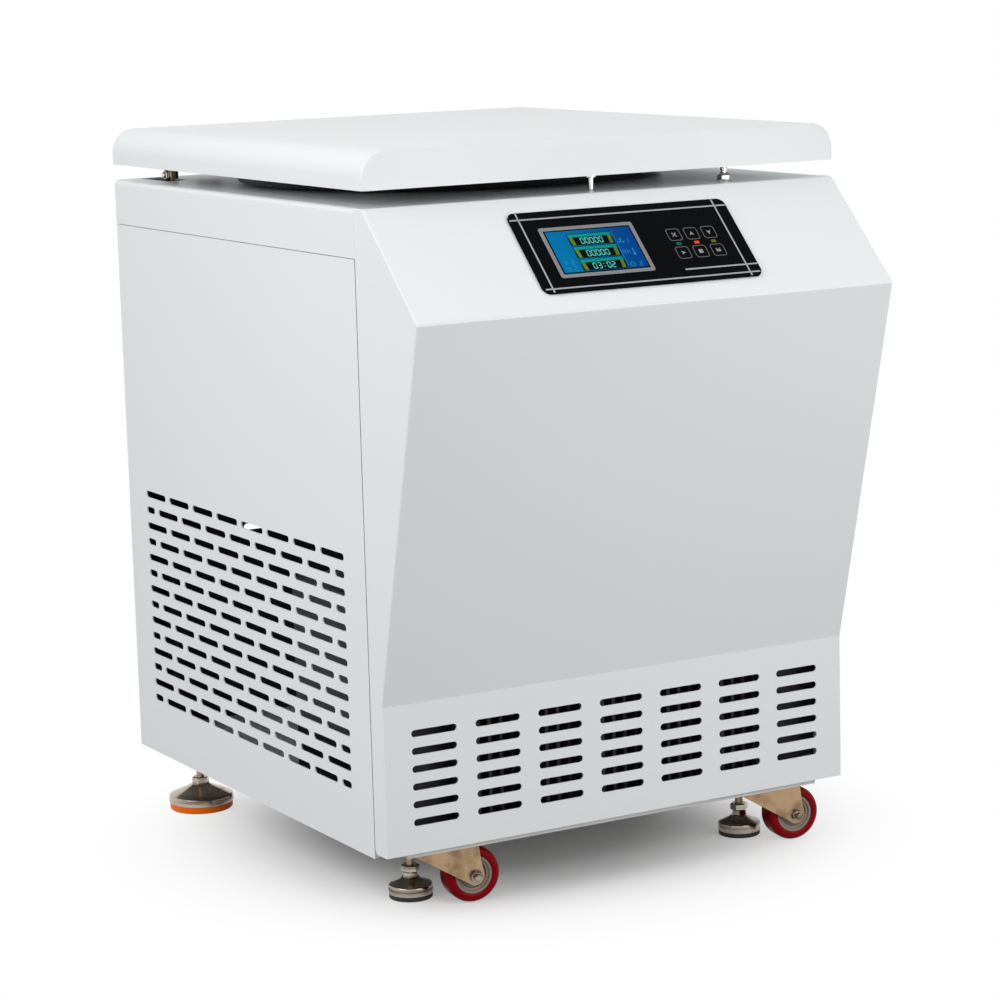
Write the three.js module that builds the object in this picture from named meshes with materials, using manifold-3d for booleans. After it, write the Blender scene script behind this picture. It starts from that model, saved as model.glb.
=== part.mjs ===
// Floor-standing refrigerated centrifuge, in millimetres, +Z up.
// The origin is on the floor under the middle of the whole part. The control face looks towards -Y.

import * as THREE from 'three';
import { mergeVertices } from 'three/addons/utils/BufferGeometryUtils.js';
import Module from 'manifold-3d';

const wasm = await Module();
wasm.setup();

// Whole machine
const cabinetWidth = 600;
const overallDepth = 763;
const deckHeight = 775.5;
const lidGap = 18.5;
const lidRise = 42;
const sheet = 1.5;
const seatGap = 0.3;
const seamGap = 0.8;
const overrun = 5;

// Front cover, measured back from the knee and down from the deck
const slopeTopSetback = 113.5;
const kneeDrop = 111.5;
const creaseSetback = 105;
const creaseHeight = 245.5;
const coverBottom = 79;
const seamSetback = 131;
const cheekChamfer = 12;
const frontSlotPitch = 79.2;
const frontSlotRowPitch = 19.7;
const frontSlotRowCount = 6;
const frontSlotColumnCount = 7;
const frontSlotBottom = 113.5;

// Side and rear panels
const sideBottom = 72;
const panelInset = 1;
const rearInset = 3.5;
const slotLength = 56;
const slotHeight = 8;
const sideSlotPitch = 66.8;
const sideSlotRowPitch = 19.5;
const sideSlotRowCount = 14;
const sideSlotColumnCount = 8;
const sideSlotBottom = 143;
const rearSlotRowCount = 4;
const rearSlotColumnCount = 4;
const rearSlotBottom = 330;

// Deck with its collar
const collarDepth = 53;
const deckSheet = 2;
const deckCorner = 6;
const mouthClearance = 2;

// Lid
const lidFrontSetback = 111;
const lidRoll = 28;
const innerPlate = 1.2;
const linerOverlap = 45;
const linerTaper = 5;
const linerHeight = 14.8;
const gasketOverlap = 9;
const gasketWidth = 10;

// Lid hinge: its axis lies under the deck, and the arms come up through slots
const hingeFromRear = 26;
const hingeDrop = 27.5;
const hingeShaftRadius = 6;
const armInset = 44;
const armThickness = 6;
const armReach = 38;
const armClimb = 26;
const armWidth = 14;
const armBossRadius = 12;
const armFlangeLength = 44;
const armFlangeWidth = 22;
const armFlangeThickness = 4;
const hingeSlotWidth = 30;
const hingeSlotFront = 56;
const hingeSlotRear = 19;
const earThickness = 5;
const earWidth = 28;
const earDrop = 13;
const earToSlot = 2;

// Gas springs under the hinge arms
const studRadius = 3;
const studArm = 23;
const studAngle = 205;
const studPlay = 2.2;
const eyePlay = 1.2;
const studLobeRadius = 6.5;
const springEyeRadius = 9.5;
const springEyeThickness = 6;
const springTubeRadius = 9;
const springTubeLength = 150;
const springBoreStart = 19;
const springRodStart = 28.5;
const springRodRadius = 4;
const springFootBack = 42;
const springFootDrop = 262;
const springPinRadius = 4;

// Lid lock and stop
const strikerFromSeam = 14.5;
const strikerRadius = 3;
const strikerNeckRadius = 2;
const strikerHeadRadius = 6;
const strikerHead = 4;
const strikerDrop = 66;
const strikerTip = 8;
const strikerNeck = 10;
const lockWidth = 72;
const lockOffset = 12;
const lockDepth = 50;
const lockHeight = 72;
const lockWall = 3;
const boltLength = 34;
const boltThickness = 4;
const boltWidth = 18;
const boltRetract = 6;
const boltNotchDepth = 7;
const stopX = 175;
const stopBaseRadius = 8.5;
const stopBase = 8;
const stopRadius = 4;

// Chamber
const chamberRearClearance = 53;
const chamberFrontClearance = 82.7;
const chamberSideClearance = 54;
const chamberWall = 36;
const bowlDepth = 266;
const bowlRimWidth = 28;
const bowlHoleRadius = 16;
const foamFloor = 43;
const foamHoleRadius = 34;
const coilTubeRadius = 4;
const coilTurnCount = 3;
const coilPitch = 60;
const coilClearance = 0.6;

// Chassis table that carries the chamber and the motor
const tableThickness = 6;
const tableInset = 30;
const tableFrontOverhang = 9;
const tableRearOverhang = 28;
const legSize = 30;
const legWall = 4;
const tableHoleRadius = 52;

// Drive
const mountRingHeight = 10;
const motorFlangeRadius = 92;
const motorFlange = 9;
const motorRadius = 78;
const motorClearance = 125.7;
const motorTaper = 14;
const motorBoltCircle = 78;
const motorBoltRadius = 4;
const motorBoltCount = 4;
const shaftRadius = 10;
const shaftInMotor = 60;

// Rotor and buckets
const pivotDrop = 110.5;
const pivotShare = 0.5;
const rotorShare = 0.538;
const rotorCornerShare = 0.224;
const rotorThickness = 24;
const rotorHubShare = 0.143;
const rotorHubBelow = 34;
const rotorHubAbove = 26;
const rotorNutRadius = 17;
const rotorNut = 20;
const rotorNutChamfer = 4;
const bucketShare = 0.2095;
const bucketWall = 6;
const bucketAbove = 14;
const bucketSwingClearance = 20;
const bucketFloor = 6;
const bucketChamfer = 8;
const lugReach = 5.8;
const lugWidth = 18;
const lugHeight = 22;
const notchClearance = 0.7;
const trunnionRadius = 5;
const trunnionReach = 5;
const bucketCount = 4;

// Base frame
const baseInset = 30;
const baseSetback = 9.5;
const basePlate = 3;
const baseLip = 19;

// Casters
const wheelRadius = 31.75;
const wheelWidth = 28;
const wheelHubRadius = 20;
const wheelHubWidth = 20;
const wheelBoreRadius = 4.3;
const axleRadius = 4;
const axleNutRadius = 7.5;
const axleNut = 6;
const forkPlate = 3;
const forkGap = 1.5;
const forkShoulder = 2.5;
const forkShoulderDrop = 12.2;
const forkDiscRadius = 25;
const forkDisc = 4;
const forkBack = 30;
const forkBackDepth = 19;
const forkNose = 36;
const forkTrail = 44;
const forkTipRadius = 10;
const forkTipFront = 20;
const forkTipBack = -110;
const bracketTipStart = 200;
const bracketTipEnd = 340;
const kingpinRadius = 6;
const frontCasterInset = 84;
const frontCasterFromKnee = 159.5;
const casterRestAngle = -8;
const rearCasterOffset = 150;
const rearCasterFromRear = 72;

// Levelling feet
const frontFootInset = 79;
const frontFootFromKnee = 201.5;
const frontPadRadius = 25;
const frontPad = 6.5;
const frontRim = 9.5;
const frontDome = 6.8;
const rearFootInset = 47;
const rearFootFromRear = 72;
const rearPadRadius = 40;
const rearPad = 8;
const rearRim = 9;
const rearDome = 14;
const stemRadius = 5;
const stemAbovePlate = 15;
const footNutRadius = 10.5;
const footNut = 8;
const footCollarRadius = 9;
const footCollar = 6.4;

// Refrigeration and electrics
const condenserWidth = 408;
const condenserDepth = 30;
const condenserShare = 0.404;
const condenserFromFace = 20;
const condenserFinCount = 28;
const condenserSpine = 6;
const condenserFinShare = 0.3;
const shroudWidth = 200;
const shroudDepth = 28;
const fanFromEdge = 12;
const fanClearance = 5;
const fanHubRadius = 18;
const fanHubDepth = 22;
const fanBladeChord = 26;
const fanBladeThickness = 2;
const fanBladePitch = 32;
const fanBladeCount = 5;
const fanMotorRadius = 20;
const fanMotorDepth = 26;
const fanShaftRadius = 3;
const spiderBar = 8;
const compressorFromSide = 165;
const compressorFromKnee = 290;
const compressorRadius = 74;
const compressorHeadroom = 176.3;
const compressorSeam = 8;
const lineRadius = 4;
const lineRise = 34;
const lineSteps = 18;
const boxWidth = 110;
const boxDepth = 190;
const boxHeadroom = 126.3;
const boxFromSide = 58;
const boxFromKnee = 240;
const boxFinCount = 9;
const boxFinDepth = 16;

// Mains inlet and switch
const inletFromSide = 110;
const inletHeight = 150;
const inletPlateWidth = 50;
const inletPlateHeight = 74;
const inletPlate = 2;
const inletBodyWidth = 44;
const inletBodyHeight = 68;
const inletBodyDepth = 34;
const socketWidth = 26;
const socketHeight = 18;
const socketDepth = 16;
const socketDrop = 17;
const rockerWidth = 18;
const rockerHeight = 24;
const rockerDepth = 7;
const rockerLift = 18;
const rockerTilt = 10;
const rockerPocketDepth = 13;

// Control panel on the upper slope
const overlayWidth = 276;
const overlayHeight = 112;
const overlayThickness = 2.4;
const overlayCorner = 9;
const overlayTopMargin = 23.2;
const bezelWidth = 117.5;
const bezelHeight = 70;
const bezelX = -50.7;
const bezelLift = -2.3;
const bezelDepth = 18;
const bezelProud = 0.8;
const screenWidth = 107.5;
const screenHeight = 60;
const screenThickness = 1.5;
const screenPocket = 2.3;
const windowMargin = 2;
const keySize = 17.5;
const keyCorner = 4;
const keyThickness = 1.2;
const keyPocket = 1.8;
const keyPitch = 22.5;
const keyRowPitch = 25.7;
const keyBlockX = 75.3;
const keyBlockDrop = 3.3;

// Facet counts
const roundSides = 12;
const wheelSides = 16;
const chamberSides = 24;
const pinSides = 8;
const hexSides = 6;
const arcSteps = 5;
const cornerSteps = 3;
const tipSteps = 4;
const notchSteps = 8;
const coilStepsPerTurn = 24;
const coilSides = 6;

// Places that follow from the sizes
const half = cabinetWidth / 2;
const kneeY = -overallDepth / 2;
const lidRearY = overallDepth / 2;
const rearY = lidRearY - rearInset;
const seamY = kneeY + seamSetback;
const slopeTopY = kneeY + slopeTopSetback;
const footFaceY = kneeY + creaseSetback;
const lidFrontY = kneeY + lidFrontSetback;
const kneeZ = deckHeight - kneeDrop;
const collarBottomZ = deckHeight - collarDepth;
const deckUnderZ = deckHeight - deckSheet;
const lidUnderZ = deckHeight + lidGap;
const lidTopZ = lidUnderZ + lidRise;
const deckFrontY = seamY + seamGap;
const panelTopZ = collarBottomZ - seamGap;
const panelX = half - panelInset;
const inletX = half - inletFromSide;
const hingeY = rearY - hingeFromRear;
const hingeZ = deckHeight - hingeDrop;
const armX = half - armInset;
const chamberRoomAlong = (rearY - deckFrontY - chamberRearClearance - chamberFrontClearance) / 2;
const chamberRoomAcross = half - chamberSideClearance;
const foamRadius = Math.min(chamberRoomAlong, chamberRoomAcross);
const chamberY = rearY - chamberRearClearance - foamRadius;
const bowlRadius = foamRadius - chamberWall;
const bowlRim = bowlRadius + bowlRimWidth;
const mouthRadius = bowlRadius + mouthClearance;
const rimTopZ = deckUnderZ - seatGap;
const bowlFloorZ = rimTopZ - bowlDepth;
const foamFloorZ = bowlFloorZ - seatGap;
const foamBottomZ = foamFloorZ - foamFloor;
const tableTopZ = foamBottomZ - seatGap;
const tableUnderZ = tableTopZ - tableThickness;
const baseBottomZ = sideBottom;
const baseTopZ = baseBottomZ + baseLip;
const baseUnderZ = baseTopZ - basePlate;
const baseX = half - baseInset;
const baseFrontY = footFaceY + baseSetback;
const baseRearY = rearY - sheet - seatGap;
const floorOfCabinetZ = baseTopZ + seatGap;
const bayHeight = tableUnderZ - floorOfCabinetZ;
const pivotZ = deckHeight - pivotDrop;
const pivotRadius = bowlRadius * pivotShare;
const rotorHalfWidth = bowlRadius * rotorShare;
const rotorCorner = bowlRadius * rotorCornerShare;
const rotorHubRadius = bowlRadius * rotorHubShare;
const bucketRadius = bowlRadius * bucketShare;
const bucketBelow = bowlRadius - pivotRadius - bucketSwingClearance;
const slopeAngle = Math.atan2(kneeDrop, slopeTopSetback);
const slopeLength = Math.hypot(kneeDrop, slopeTopSetback);

/** A vector, for short. */
function at(x, y, z) {
  return new THREE.Vector3(x, y, z);
}

/** Turns a closed geometry into a solid, with its faces pointing out. */
function solidOf(geometry) {
  const bare = geometry.clone();
  bare.deleteAttribute('normal');
  bare.deleteAttribute('uv');
  const merged = mergeVertices(bare);
  const corners = merged.attributes.position;
  const faces = [];
  let volume = 0;
  for (let i = 0; i < merged.index.count; i += 3) {
    const face = [0, 1, 2].map((k) => merged.index.getX(i + k));
    if (new Set(face).size < 3) continue;
    const [a, b, c] = face.map((k) => new THREE.Vector3().fromBufferAttribute(corners, k));
    volume += a.dot(b.cross(c));
    faces.push(face);
  }
  const turned = volume < 0 ? faces.map(([a, b, c]) => [a, c, b]) : faces;
  return new wasm.Manifold(new wasm.Mesh({
    numProp: 3,
    vertProperties: new Float32Array(corners.array),
    triVerts: new Uint32Array(turned.flat()),
  }));
}

/** Turns a solid back into a geometry. */
function geometryOf(solid) {
  const mesh = solid.getMesh();
  const geometry = new THREE.BufferGeometry();
  geometry.setAttribute('position', new THREE.BufferAttribute(mesh.vertProperties, mesh.numProp));
  geometry.setIndex(new THREE.BufferAttribute(mesh.triVerts, 1));
  return geometry;
}

/** Joins closed geometries into one. */
function join(...geometries) {
  return geometryOf(geometries.map(solidOf).reduce((whole, next) => whole.add(next)));
}

/** Cuts the later geometries out of the first. */
function cut(body, ...tools) {
  return geometryOf(tools.map(solidOf).reduce((whole, next) => whole.subtract(next), solidOf(body)));
}

/** An axis-aligned box between two limits on each axis. */
function box([x0, x1], [y0, y1], [z0, z1]) {
  const geometry = new THREE.BoxGeometry(x1 - x0, y1 - y0, z1 - z0);
  return geometry.translate((x0 + x1) / 2, (y0 + y1) / 2, (z0 + z1) / 2);
}

/** A span of a given width about a centre. */
function span(centre, width) {
  return [centre - width / 2, centre + width / 2];
}

/** A prism from an outline, extruded from one place to another along the named axis. */
function prism(outline, axis, from, to) {
  const shape = new THREE.Shape(outline.map(([u, v]) => new THREE.Vector2(u, v)));
  const geometry = new THREE.ExtrudeGeometry(shape, { depth: to - from, bevelEnabled: false });
  const turns = {
    x: [at(0, 1, 0), at(0, 0, 1), at(1, 0, 0), at(from, 0, 0)],
    y: [at(1, 0, 0), at(0, 0, 1), at(0, -1, 0), at(0, to, 0)],
    z: [at(1, 0, 0), at(0, 1, 0), at(0, 0, 1), at(0, 0, from)],
  };
  const [across, up, along, start] = turns[axis];
  return geometry.applyMatrix4(new THREE.Matrix4().makeBasis(across, up, along).setPosition(start));
}

/** A round bar between two points. */
function rod(radius, from, to, sides = roundSides) {
  const along = new THREE.Vector3().subVectors(to, from);
  const geometry = new THREE.CylinderGeometry(radius, radius, along.length(), sides);
  const turn = new THREE.Quaternion().setFromUnitVectors(at(0, 1, 0), along.clone().normalize());
  const middle = new THREE.Vector3().addVectors(from, to).multiplyScalar(0.5);
  return geometry.applyQuaternion(turn).translate(middle.x, middle.y, middle.z);
}

/** A turned piece about +Z from a profile of [radius, height] points. */
function turned(profile, sides = roundSides) {
  const points = profile.map(([r, z]) => new THREE.Vector2(r, z));
  return new THREE.LatheGeometry(points, sides).rotateX(Math.PI / 2);
}

/** A turned ring: its profile closes on itself. */
function ring(profile, sides = roundSides) {
  return turned([...profile, profile[0]], sides);
}

/** Points on an arc, both ends included. */
function arc(u, v, radius, startAngle, endAngle, steps = arcSteps) {
  return Array.from({ length: steps + 1 }, (_, i) => {
    const angle = THREE.MathUtils.degToRad(startAngle + ((endAngle - startAngle) * i) / steps);
    return [u + radius * Math.cos(angle), v + radius * Math.sin(angle)];
  });
}

/** A rectangle with round corners, about a centre. */
function roundedRectangle(width, height, radius) {
  const u = width / 2 - radius;
  const v = height / 2 - radius;
  return [
    ...arc(u, v, radius, 0, 90),
    ...arc(-u, v, radius, 90, 180),
    ...arc(-u, -v, radius, 180, 270),
    ...arc(u, -v, radius, 270, 360),
  ];
}

/** A flat-bottomed section whose two upper corners are rolled over. */
function rolledSection(halfWidth, bottom, top, radius, steps) {
  return [
    [-halfWidth, bottom],
    [halfWidth, bottom],
    ...arc(halfWidth - radius, top - radius, radius, 0, 90, steps),
    ...arc(-halfWidth + radius, top - radius, radius, 90, 180, steps),
  ];
}

/** A straight bar's outline between two points. */
function barOutline([u0, v0], [u1, v1], width) {
  const length = Math.hypot(u1 - u0, v1 - v0);
  const du = (-(v1 - v0) * width) / length / 2;
  const dv = ((u1 - u0) * width) / length / 2;
  return [[u0 + du, v0 + dv], [u0 - du, v0 - dv], [u1 - du, v1 - dv], [u1 + du, v1 + dv]];
}

/** A closed outline moved inwards by one thickness, with sharp corners. */
function insetOutline(points, thickness) {
  const count = points.length;
  const area = points.reduce((sum, [u, v], i) => {
    const [nextU, nextV] = points[(i + 1) % count];
    return sum + u * nextV - nextU * v;
  }, 0);
  const side = Math.sign(area) * thickness;
  const edges = points.map(([u, v], i) => {
    const [nextU, nextV] = points[(i + 1) % count];
    const length = Math.hypot(nextU - u, nextV - v);
    const du = (nextU - u) / length;
    const dv = (nextV - v) / length;
    return { u: u - dv * side, v: v + du * side, du, dv };
  });
  return edges.map((edge, i) => {
    const last = edges[(i + count - 1) % count];
    const cross = last.du * edge.dv - last.dv * edge.du;
    const reach = ((edge.u - last.u) * edge.dv - (edge.v - last.v) * edge.du) / cross;
    return [last.u + last.du * reach, last.v + last.dv * reach];
  });
}

/** Evenly pitched places about a centre. */
function places(count, pitch, centre = 0) {
  return Array.from({ length: count }, (_, i) => centre + (i - (count - 1) / 2) * pitch);
}

/** Cuts many boxes out of a body in one go. */
function cutBoxes(body, limits) {
  const tools = wasm.Manifold.union(limits.map((limit) => solidOf(box(...limit))));
  return geometryOf(solidOf(body).subtract(tools));
}

/** A finish for one piece. */
function finish(color, roughness, metalness) {
  return new THREE.MeshStandardMaterial({ color, roughness, metalness });
}

const whitePaint = finish(0xe8ebec, 0.35, 0);
const greyPaint = finish(0xc9ccca, 0.4, 0.1);
const zinc = finish(0xb59a78, 0.35, 0.8);
const chromePlate = finish(0xd8d8d8, 0.12, 1);
const stainless = finish(0xb9bcbd, 0.3, 1);
const aluminium = finish(0xa7abae, 0.4, 0.9);
const copper = finish(0xb26a42, 0.35, 0.9);
const blackPlastic = finish(0x111314, 0.45, 0);
const blackGloss = finish(0x0a0f0f, 0.12, 0);
const blackRubber = finish(0x1b1b1a, 0.8, 0);
const greyPlastic = finish(0x8b9094, 0.4, 0);
const blueScreen = finish(0x076fa6, 0.15, 0);
const redTyre = finish(0x7a0610, 0.35, 0);
const foam = finish(0xd9cfa8, 0.9, 0);
const blackSteel = finish(0x1c1e20, 0.4, 0.3);

const centrifuge = new THREE.Group();

/** Adds a named piece to a group. */
function piece(name, geometry, material, group = centrifuge) {
  const mesh = new THREE.Mesh(geometryOf(solidOf(geometry)), material);
  mesh.name = name;
  group.add(mesh);
}

/** Adds a placed and turned group. */
function subgroup(parent, place, turn = [0, 0, 0]) {
  const group = new THREE.Group();
  group.position.copy(place);
  group.rotation.set(...turn.map(THREE.MathUtils.degToRad));
  parent.add(group);
  return group;
}

/** The front cover's outer profile in Y and Z, down to a given bottom and back to a given rear edge. */
function coverProfile(backY, bottomZ, chamfer) {
  return [
    [backY, bottomZ + chamfer],
    [backY - chamfer, bottomZ],
    [footFaceY, bottomZ],
    [footFaceY, creaseHeight],
    [kneeY, kneeZ],
    [slopeTopY, deckHeight],
    [backY, deckHeight],
  ];
}

/** The control panel's frame: X across, Y up the slope, Z out of it, from the slope's middle. */
function panelPlace() {
  const place = at(0, (slopeTopY + kneeY) / 2, (deckHeight + kneeZ) / 2);
  return { place, turn: [THREE.MathUtils.radToDeg(slopeAngle), 0, 0] };
}

const overlayY = slopeLength / 2 - overlayTopMargin - overlayHeight / 2;
const bezelY = overlayY + bezelLift;
const keyBlockY = overlayY - keyBlockDrop;
const overlayTop = seatGap + overlayThickness;

/** Folded front cover: control slope, knee, undercut slope, slotted foot face and two cheeks. */
function frontCover() {
  const outer = prism(coverProfile(seamY, coverBottom, cheekChamfer), 'x', -half, half);
  const open = coverProfile(seamY + overrun, coverBottom - overrun, sheet);
  const inner = prism(insetOutline(open, sheet), 'x', -half + sheet, half - sheet);
  const slots = [];
  for (const x of places(frontSlotColumnCount, frontSlotPitch)) {
    for (let row = 0; row < frontSlotRowCount; row += 1) {
      const z = frontSlotBottom + row * frontSlotRowPitch;
      slots.push([span(x, slotLength), span(footFaceY, 2 * overrun), span(z, slotHeight)]);
    }
  }
  const shell = cutBoxes(cut(outer, inner), slots);
  const { place, turn } = panelPlace();
  const windowWidth = bezelWidth + 2 * windowMargin;
  const windowHeight = bezelHeight + 2 * windowMargin;
  const window = box(span(bezelX, windowWidth), span(bezelY, windowHeight), [-bezelDepth, bezelDepth]);
  window.rotateX(THREE.MathUtils.degToRad(turn[0])).translate(place.x, place.y, place.z);
  return cut(shell, window);
}

/** Slots in a brick pattern: every other row starts and ends with a short one. */
function brickSlots(centre) {
  const slots = [];
  const shortLength = slotLength - sideSlotPitch / 2;
  const patternLength = sideSlotColumnCount * sideSlotPitch - (sideSlotPitch - slotLength);
  for (let row = 0; row < sideSlotRowCount; row += 1) {
    const z = sideSlotBottom + row * sideSlotRowPitch;
    const whole = row % 2 === 1;
    const count = whole ? sideSlotColumnCount : sideSlotColumnCount - 1;
    for (const y of places(count, sideSlotPitch, centre)) slots.push([y, z, slotLength]);
    if (whole) continue;
    for (const y of places(2, patternLength - shortLength, centre)) slots.push([y, z, shortLength]);
  }
  return slots;
}

/** Side panel with its slots and the bottom fold that meets the base frame. */
function sidePanel(side) {
  const frontY = seamY + seamGap;
  const [x0, x1] = side < 0 ? [-panelX, -panelX + sheet] : [panelX - sheet, panelX];
  const skin = box([x0, x1], [frontY, rearY], [sideBottom, panelTopZ]);
  const foldX = baseX + seatGap;
  const foldSpan = side < 0 ? [-panelX, -foldX] : [foldX, panelX];
  const fold = box(foldSpan, [frontY, rearY - sheet - seatGap], [sideBottom, sideBottom + sheet]);
  const slots = brickSlots((frontY + rearY) / 2).map(([y, z, length]) => [
    [x0 - overrun, x1 + overrun],
    span(y, length),
    span(z, slotHeight),
  ]);
  return cutBoxes(join(skin, fold), slots);
}

/** Rear panel with outlet slots and the mains cut-out. */
function rearPanel() {
  const x = panelX - sheet - seatGap;
  const skin = box([-x, x], [rearY - sheet, rearY], [sideBottom, panelTopZ]);
  const through = [rearY - sheet - overrun, rearY + overrun];
  const cutouts = [[
    span(inletX, inletBodyWidth + 2 * seatGap),
    through,
    span(inletHeight, inletBodyHeight + 2 * seatGap),
  ]];
  for (const column of places(rearSlotColumnCount, frontSlotPitch)) {
    for (let row = 0; row < rearSlotRowCount; row += 1) {
      const z = rearSlotBottom + row * sideSlotRowPitch;
      cutouts.push([span(column, slotLength), through, span(z, slotHeight)]);
    }
  }
  return cutBoxes(skin, cutouts);
}

const strikerY = seamY + strikerFromSeam;

/** Deck and collar: one folded sheet with the chamber mouth, the hinge slots and the hinge ears. */
function topDeck() {
  const section = rolledSection(half, collarBottomZ, deckHeight, deckCorner, cornerSteps);
  const outer = prism(section, 'y', deckFrontY, rearY);
  const inner = box(
    [-half + sheet, half - sheet],
    [deckFrontY + sheet, rearY - sheet],
    [collarBottomZ - overrun, deckUnderZ],
  );
  const through = (radius, x, y, sides) => {
    return rod(radius, at(x, y, deckUnderZ - overrun), at(x, y, deckHeight + overrun), sides);
  };
  let deck = cut(outer, inner, through(mouthRadius, 0, chamberY, chamberSides));
  deck = cut(deck, through(strikerHeadRadius, 0, strikerY, roundSides));
  const earTop = (deckUnderZ + deckHeight) / 2;
  for (const side of [-1, 1]) {
    const slotX = side * (armX - armThickness / 2);
    const slot = box(
      span(slotX, hingeSlotWidth),
      [hingeY - hingeSlotFront, hingeY + hingeSlotRear],
      [deckUnderZ - overrun, deckHeight + overrun],
    );
    deck = cut(deck, slot);
    for (const x of places(2, hingeSlotWidth + 2 * earToSlot + earThickness, slotX)) {
      const ear = box(span(x, earThickness), span(hingeY, earWidth), [hingeZ - earDrop, earTop]);
      deck = join(deck, ear);
    }
  }
  const bore = rod(hingeShaftRadius + seatGap, at(-half + 2 * sheet, hingeY, hingeZ),
    at(half - 2 * sheet, hingeY, hingeZ));
  return cut(deck, bore);
}

/** Lid shell with its two long edges rolled over. */
function lidCover() {
  const outer = prism(rolledSection(half, lidUnderZ, lidTopZ, lidRoll, arcSteps), 'y', lidFrontY, lidRearY);
  const hollow = rolledSection(half - sheet, lidUnderZ - overrun, lidTopZ - sheet, lidRoll - sheet, arcSteps);
  return cut(outer, prism(hollow, 'y', lidFrontY + sheet, lidRearY - sheet));
}

/** Plate that closes the lid from below. */
function lidInnerPlate() {
  const x = half - sheet - seatGap;
  const y = [lidFrontY + sheet + seatGap, lidRearY - sheet - seatGap];
  return box([-x, x], y, [lidUnderZ, lidUnderZ + innerPlate]);
}

const linerTopRadius = bowlRadius + linerOverlap;
const linerBottomRadius = linerTopRadius - linerTaper;
const gasketInnerRadius = bowlRadius + gasketOverlap;
const gasketOuterRadius = gasketInnerRadius + gasketWidth;
const linerTopZ = lidUnderZ - seatGap;
const linerBottomZ = linerTopZ - linerHeight;

/** Black round liner under the lid, a little narrower at its bottom. */
function lidLiner() {
  const lipZ = linerTopZ - sheet;
  return turned([
    [0, linerBottomZ],
    [linerBottomRadius, linerBottomZ],
    [linerTopRadius - sheet, lipZ],
    [linerTopRadius, linerTopZ],
    [0, linerTopZ],
  ], chamberSides).translate(0, chamberY, 0);
}

/** Soft ring that the liner presses on the deck. */
function lidGasket() {
  const low = deckHeight + seatGap;
  const high = linerBottomZ - seatGap;
  const middle = (low + high) / 2;
  return ring([
    [gasketInnerRadius, middle],
    [(gasketInnerRadius + gasketOuterRadius) / 2, low],
    [gasketOuterRadius, middle],
    [gasketOuterRadius, high],
    [gasketInnerRadius, high],
  ], chamberSides).translate(0, chamberY, 0);
}

const studY = hingeY + studArm * Math.cos(THREE.MathUtils.degToRad(studAngle));
const studZ = hingeZ + studArm * Math.sin(THREE.MathUtils.degToRad(studAngle));
const springFootY = hingeY - springFootBack;
const springFootZ = hingeZ - springFootDrop;
const springX = armX - armThickness - 2 * seatGap - springRodRadius;

/** Goose-neck arm from the hinge shaft, up through its slot, to a flange under the lid. */
function hingeArm(side) {
  const [x0, x1] = side < 0 ? [-armX, -armX + armThickness] : [armX - armThickness, armX];
  const elbow = [hingeY - armReach, hingeZ + armClimb];
  const flangeTop = lidUnderZ - seatGap;
  const axis = [hingeY, hingeZ];
  const cross = (radius, [y, z]) => rod(radius, at(x0, y, z), at(x1, y, z));
  const neck = prism(barOutline(axis, elbow, armWidth), 'x', x0, x1);
  const postTop = [elbow[0], flangeTop - armFlangeThickness / 2];
  const post = prism(barOutline(elbow, postTop, armWidth), 'x', x0, x1);
  const lobe = prism(barOutline(axis, [studY, studZ], armWidth), 'x', x0, x1);
  const flangeX = span((x0 + x1) / 2, armFlangeWidth);
  const flangeY = [elbow[0] - armWidth / 2, elbow[0] - armWidth / 2 + armFlangeLength];
  const flange = box(flangeX, flangeY, [flangeTop - armFlangeThickness, flangeTop]);
  const studEnd = side * (springX - springEyeThickness / 2 + sheet);
  const stud = rod(studRadius, at((x0 + x1) / 2, studY, studZ), at(studEnd, studY, studZ));
  const parts = [neck, cross(armBossRadius, axis), cross(armWidth / 2, elbow), post, lobe];
  const arm = join(...parts, cross(studLobeRadius, [studY, studZ]), flange, stud);
  const reach = armThickness + overrun;
  const boreEnds = [armX - reach, armX + reach].map((x) => at(side * x, ...axis));
  const bore = rod(hingeShaftRadius + seatGap, ...boreEnds);
  return cut(arm, bore);
}

/** Shaft that both hinge arms turn on, held in the ears under the deck. */
function hingeShaft() {
  const x = armX - armThickness / 2 + hingeSlotWidth / 2 + earToSlot + earThickness + sheet;
  return rod(hingeShaftRadius, at(-x, hingeY, hingeZ), at(x, hingeY, hingeZ));
}

const springAimY = studY - studPlay - springFootY;
const springAimZ = studZ - springFootZ;
const springLength = Math.hypot(springAimY, springAimZ);
const springLean = THREE.MathUtils.radToDeg(Math.atan2(springAimY, springAimZ));

/** Gas spring tube with its foot eye, along +Z from the foot pin. */
function springTube() {
  const x = springEyeThickness / 2;
  const eye = rod(springEyeRadius, at(-x, 0, 0), at(x, 0, 0));
  const tubeStart = springEyeRadius / 2 + springPinRadius;
  const tube = rod(springTubeRadius, at(0, 0, tubeStart), at(0, 0, springTubeLength));
  const boreEnd = springTubeLength + overrun;
  const bore = rod(springRodRadius + seatGap, at(0, 0, springBoreStart), at(0, 0, boreEnd));
  const pinHole = rod(springPinRadius + seatGap, at(-springTubeRadius, 0, 0), at(springTubeRadius, 0, 0));
  return cut(join(eye, tube), bore, pinHole);
}

/** Gas spring rod with the loose eye that takes the arm's stud. */
function springRod() {
  const x = springEyeThickness / 2;
  const stemEnd = springLength - springEyeRadius + sheet;
  const stem = rod(springRodRadius, at(0, 0, springRodStart), at(0, 0, stemEnd));
  const eye = rod(springEyeRadius, at(-x, 0, springLength), at(x, 0, springLength));
  const holeRadius = studRadius + studPlay + eyePlay;
  const hole = rod(holeRadius, at(-springEyeRadius, 0, springLength), at(springEyeRadius, 0, springLength));
  return cut(join(stem, eye), hole);
}

const strikerTipZ = lidUnderZ - seatGap - strikerDrop;

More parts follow.
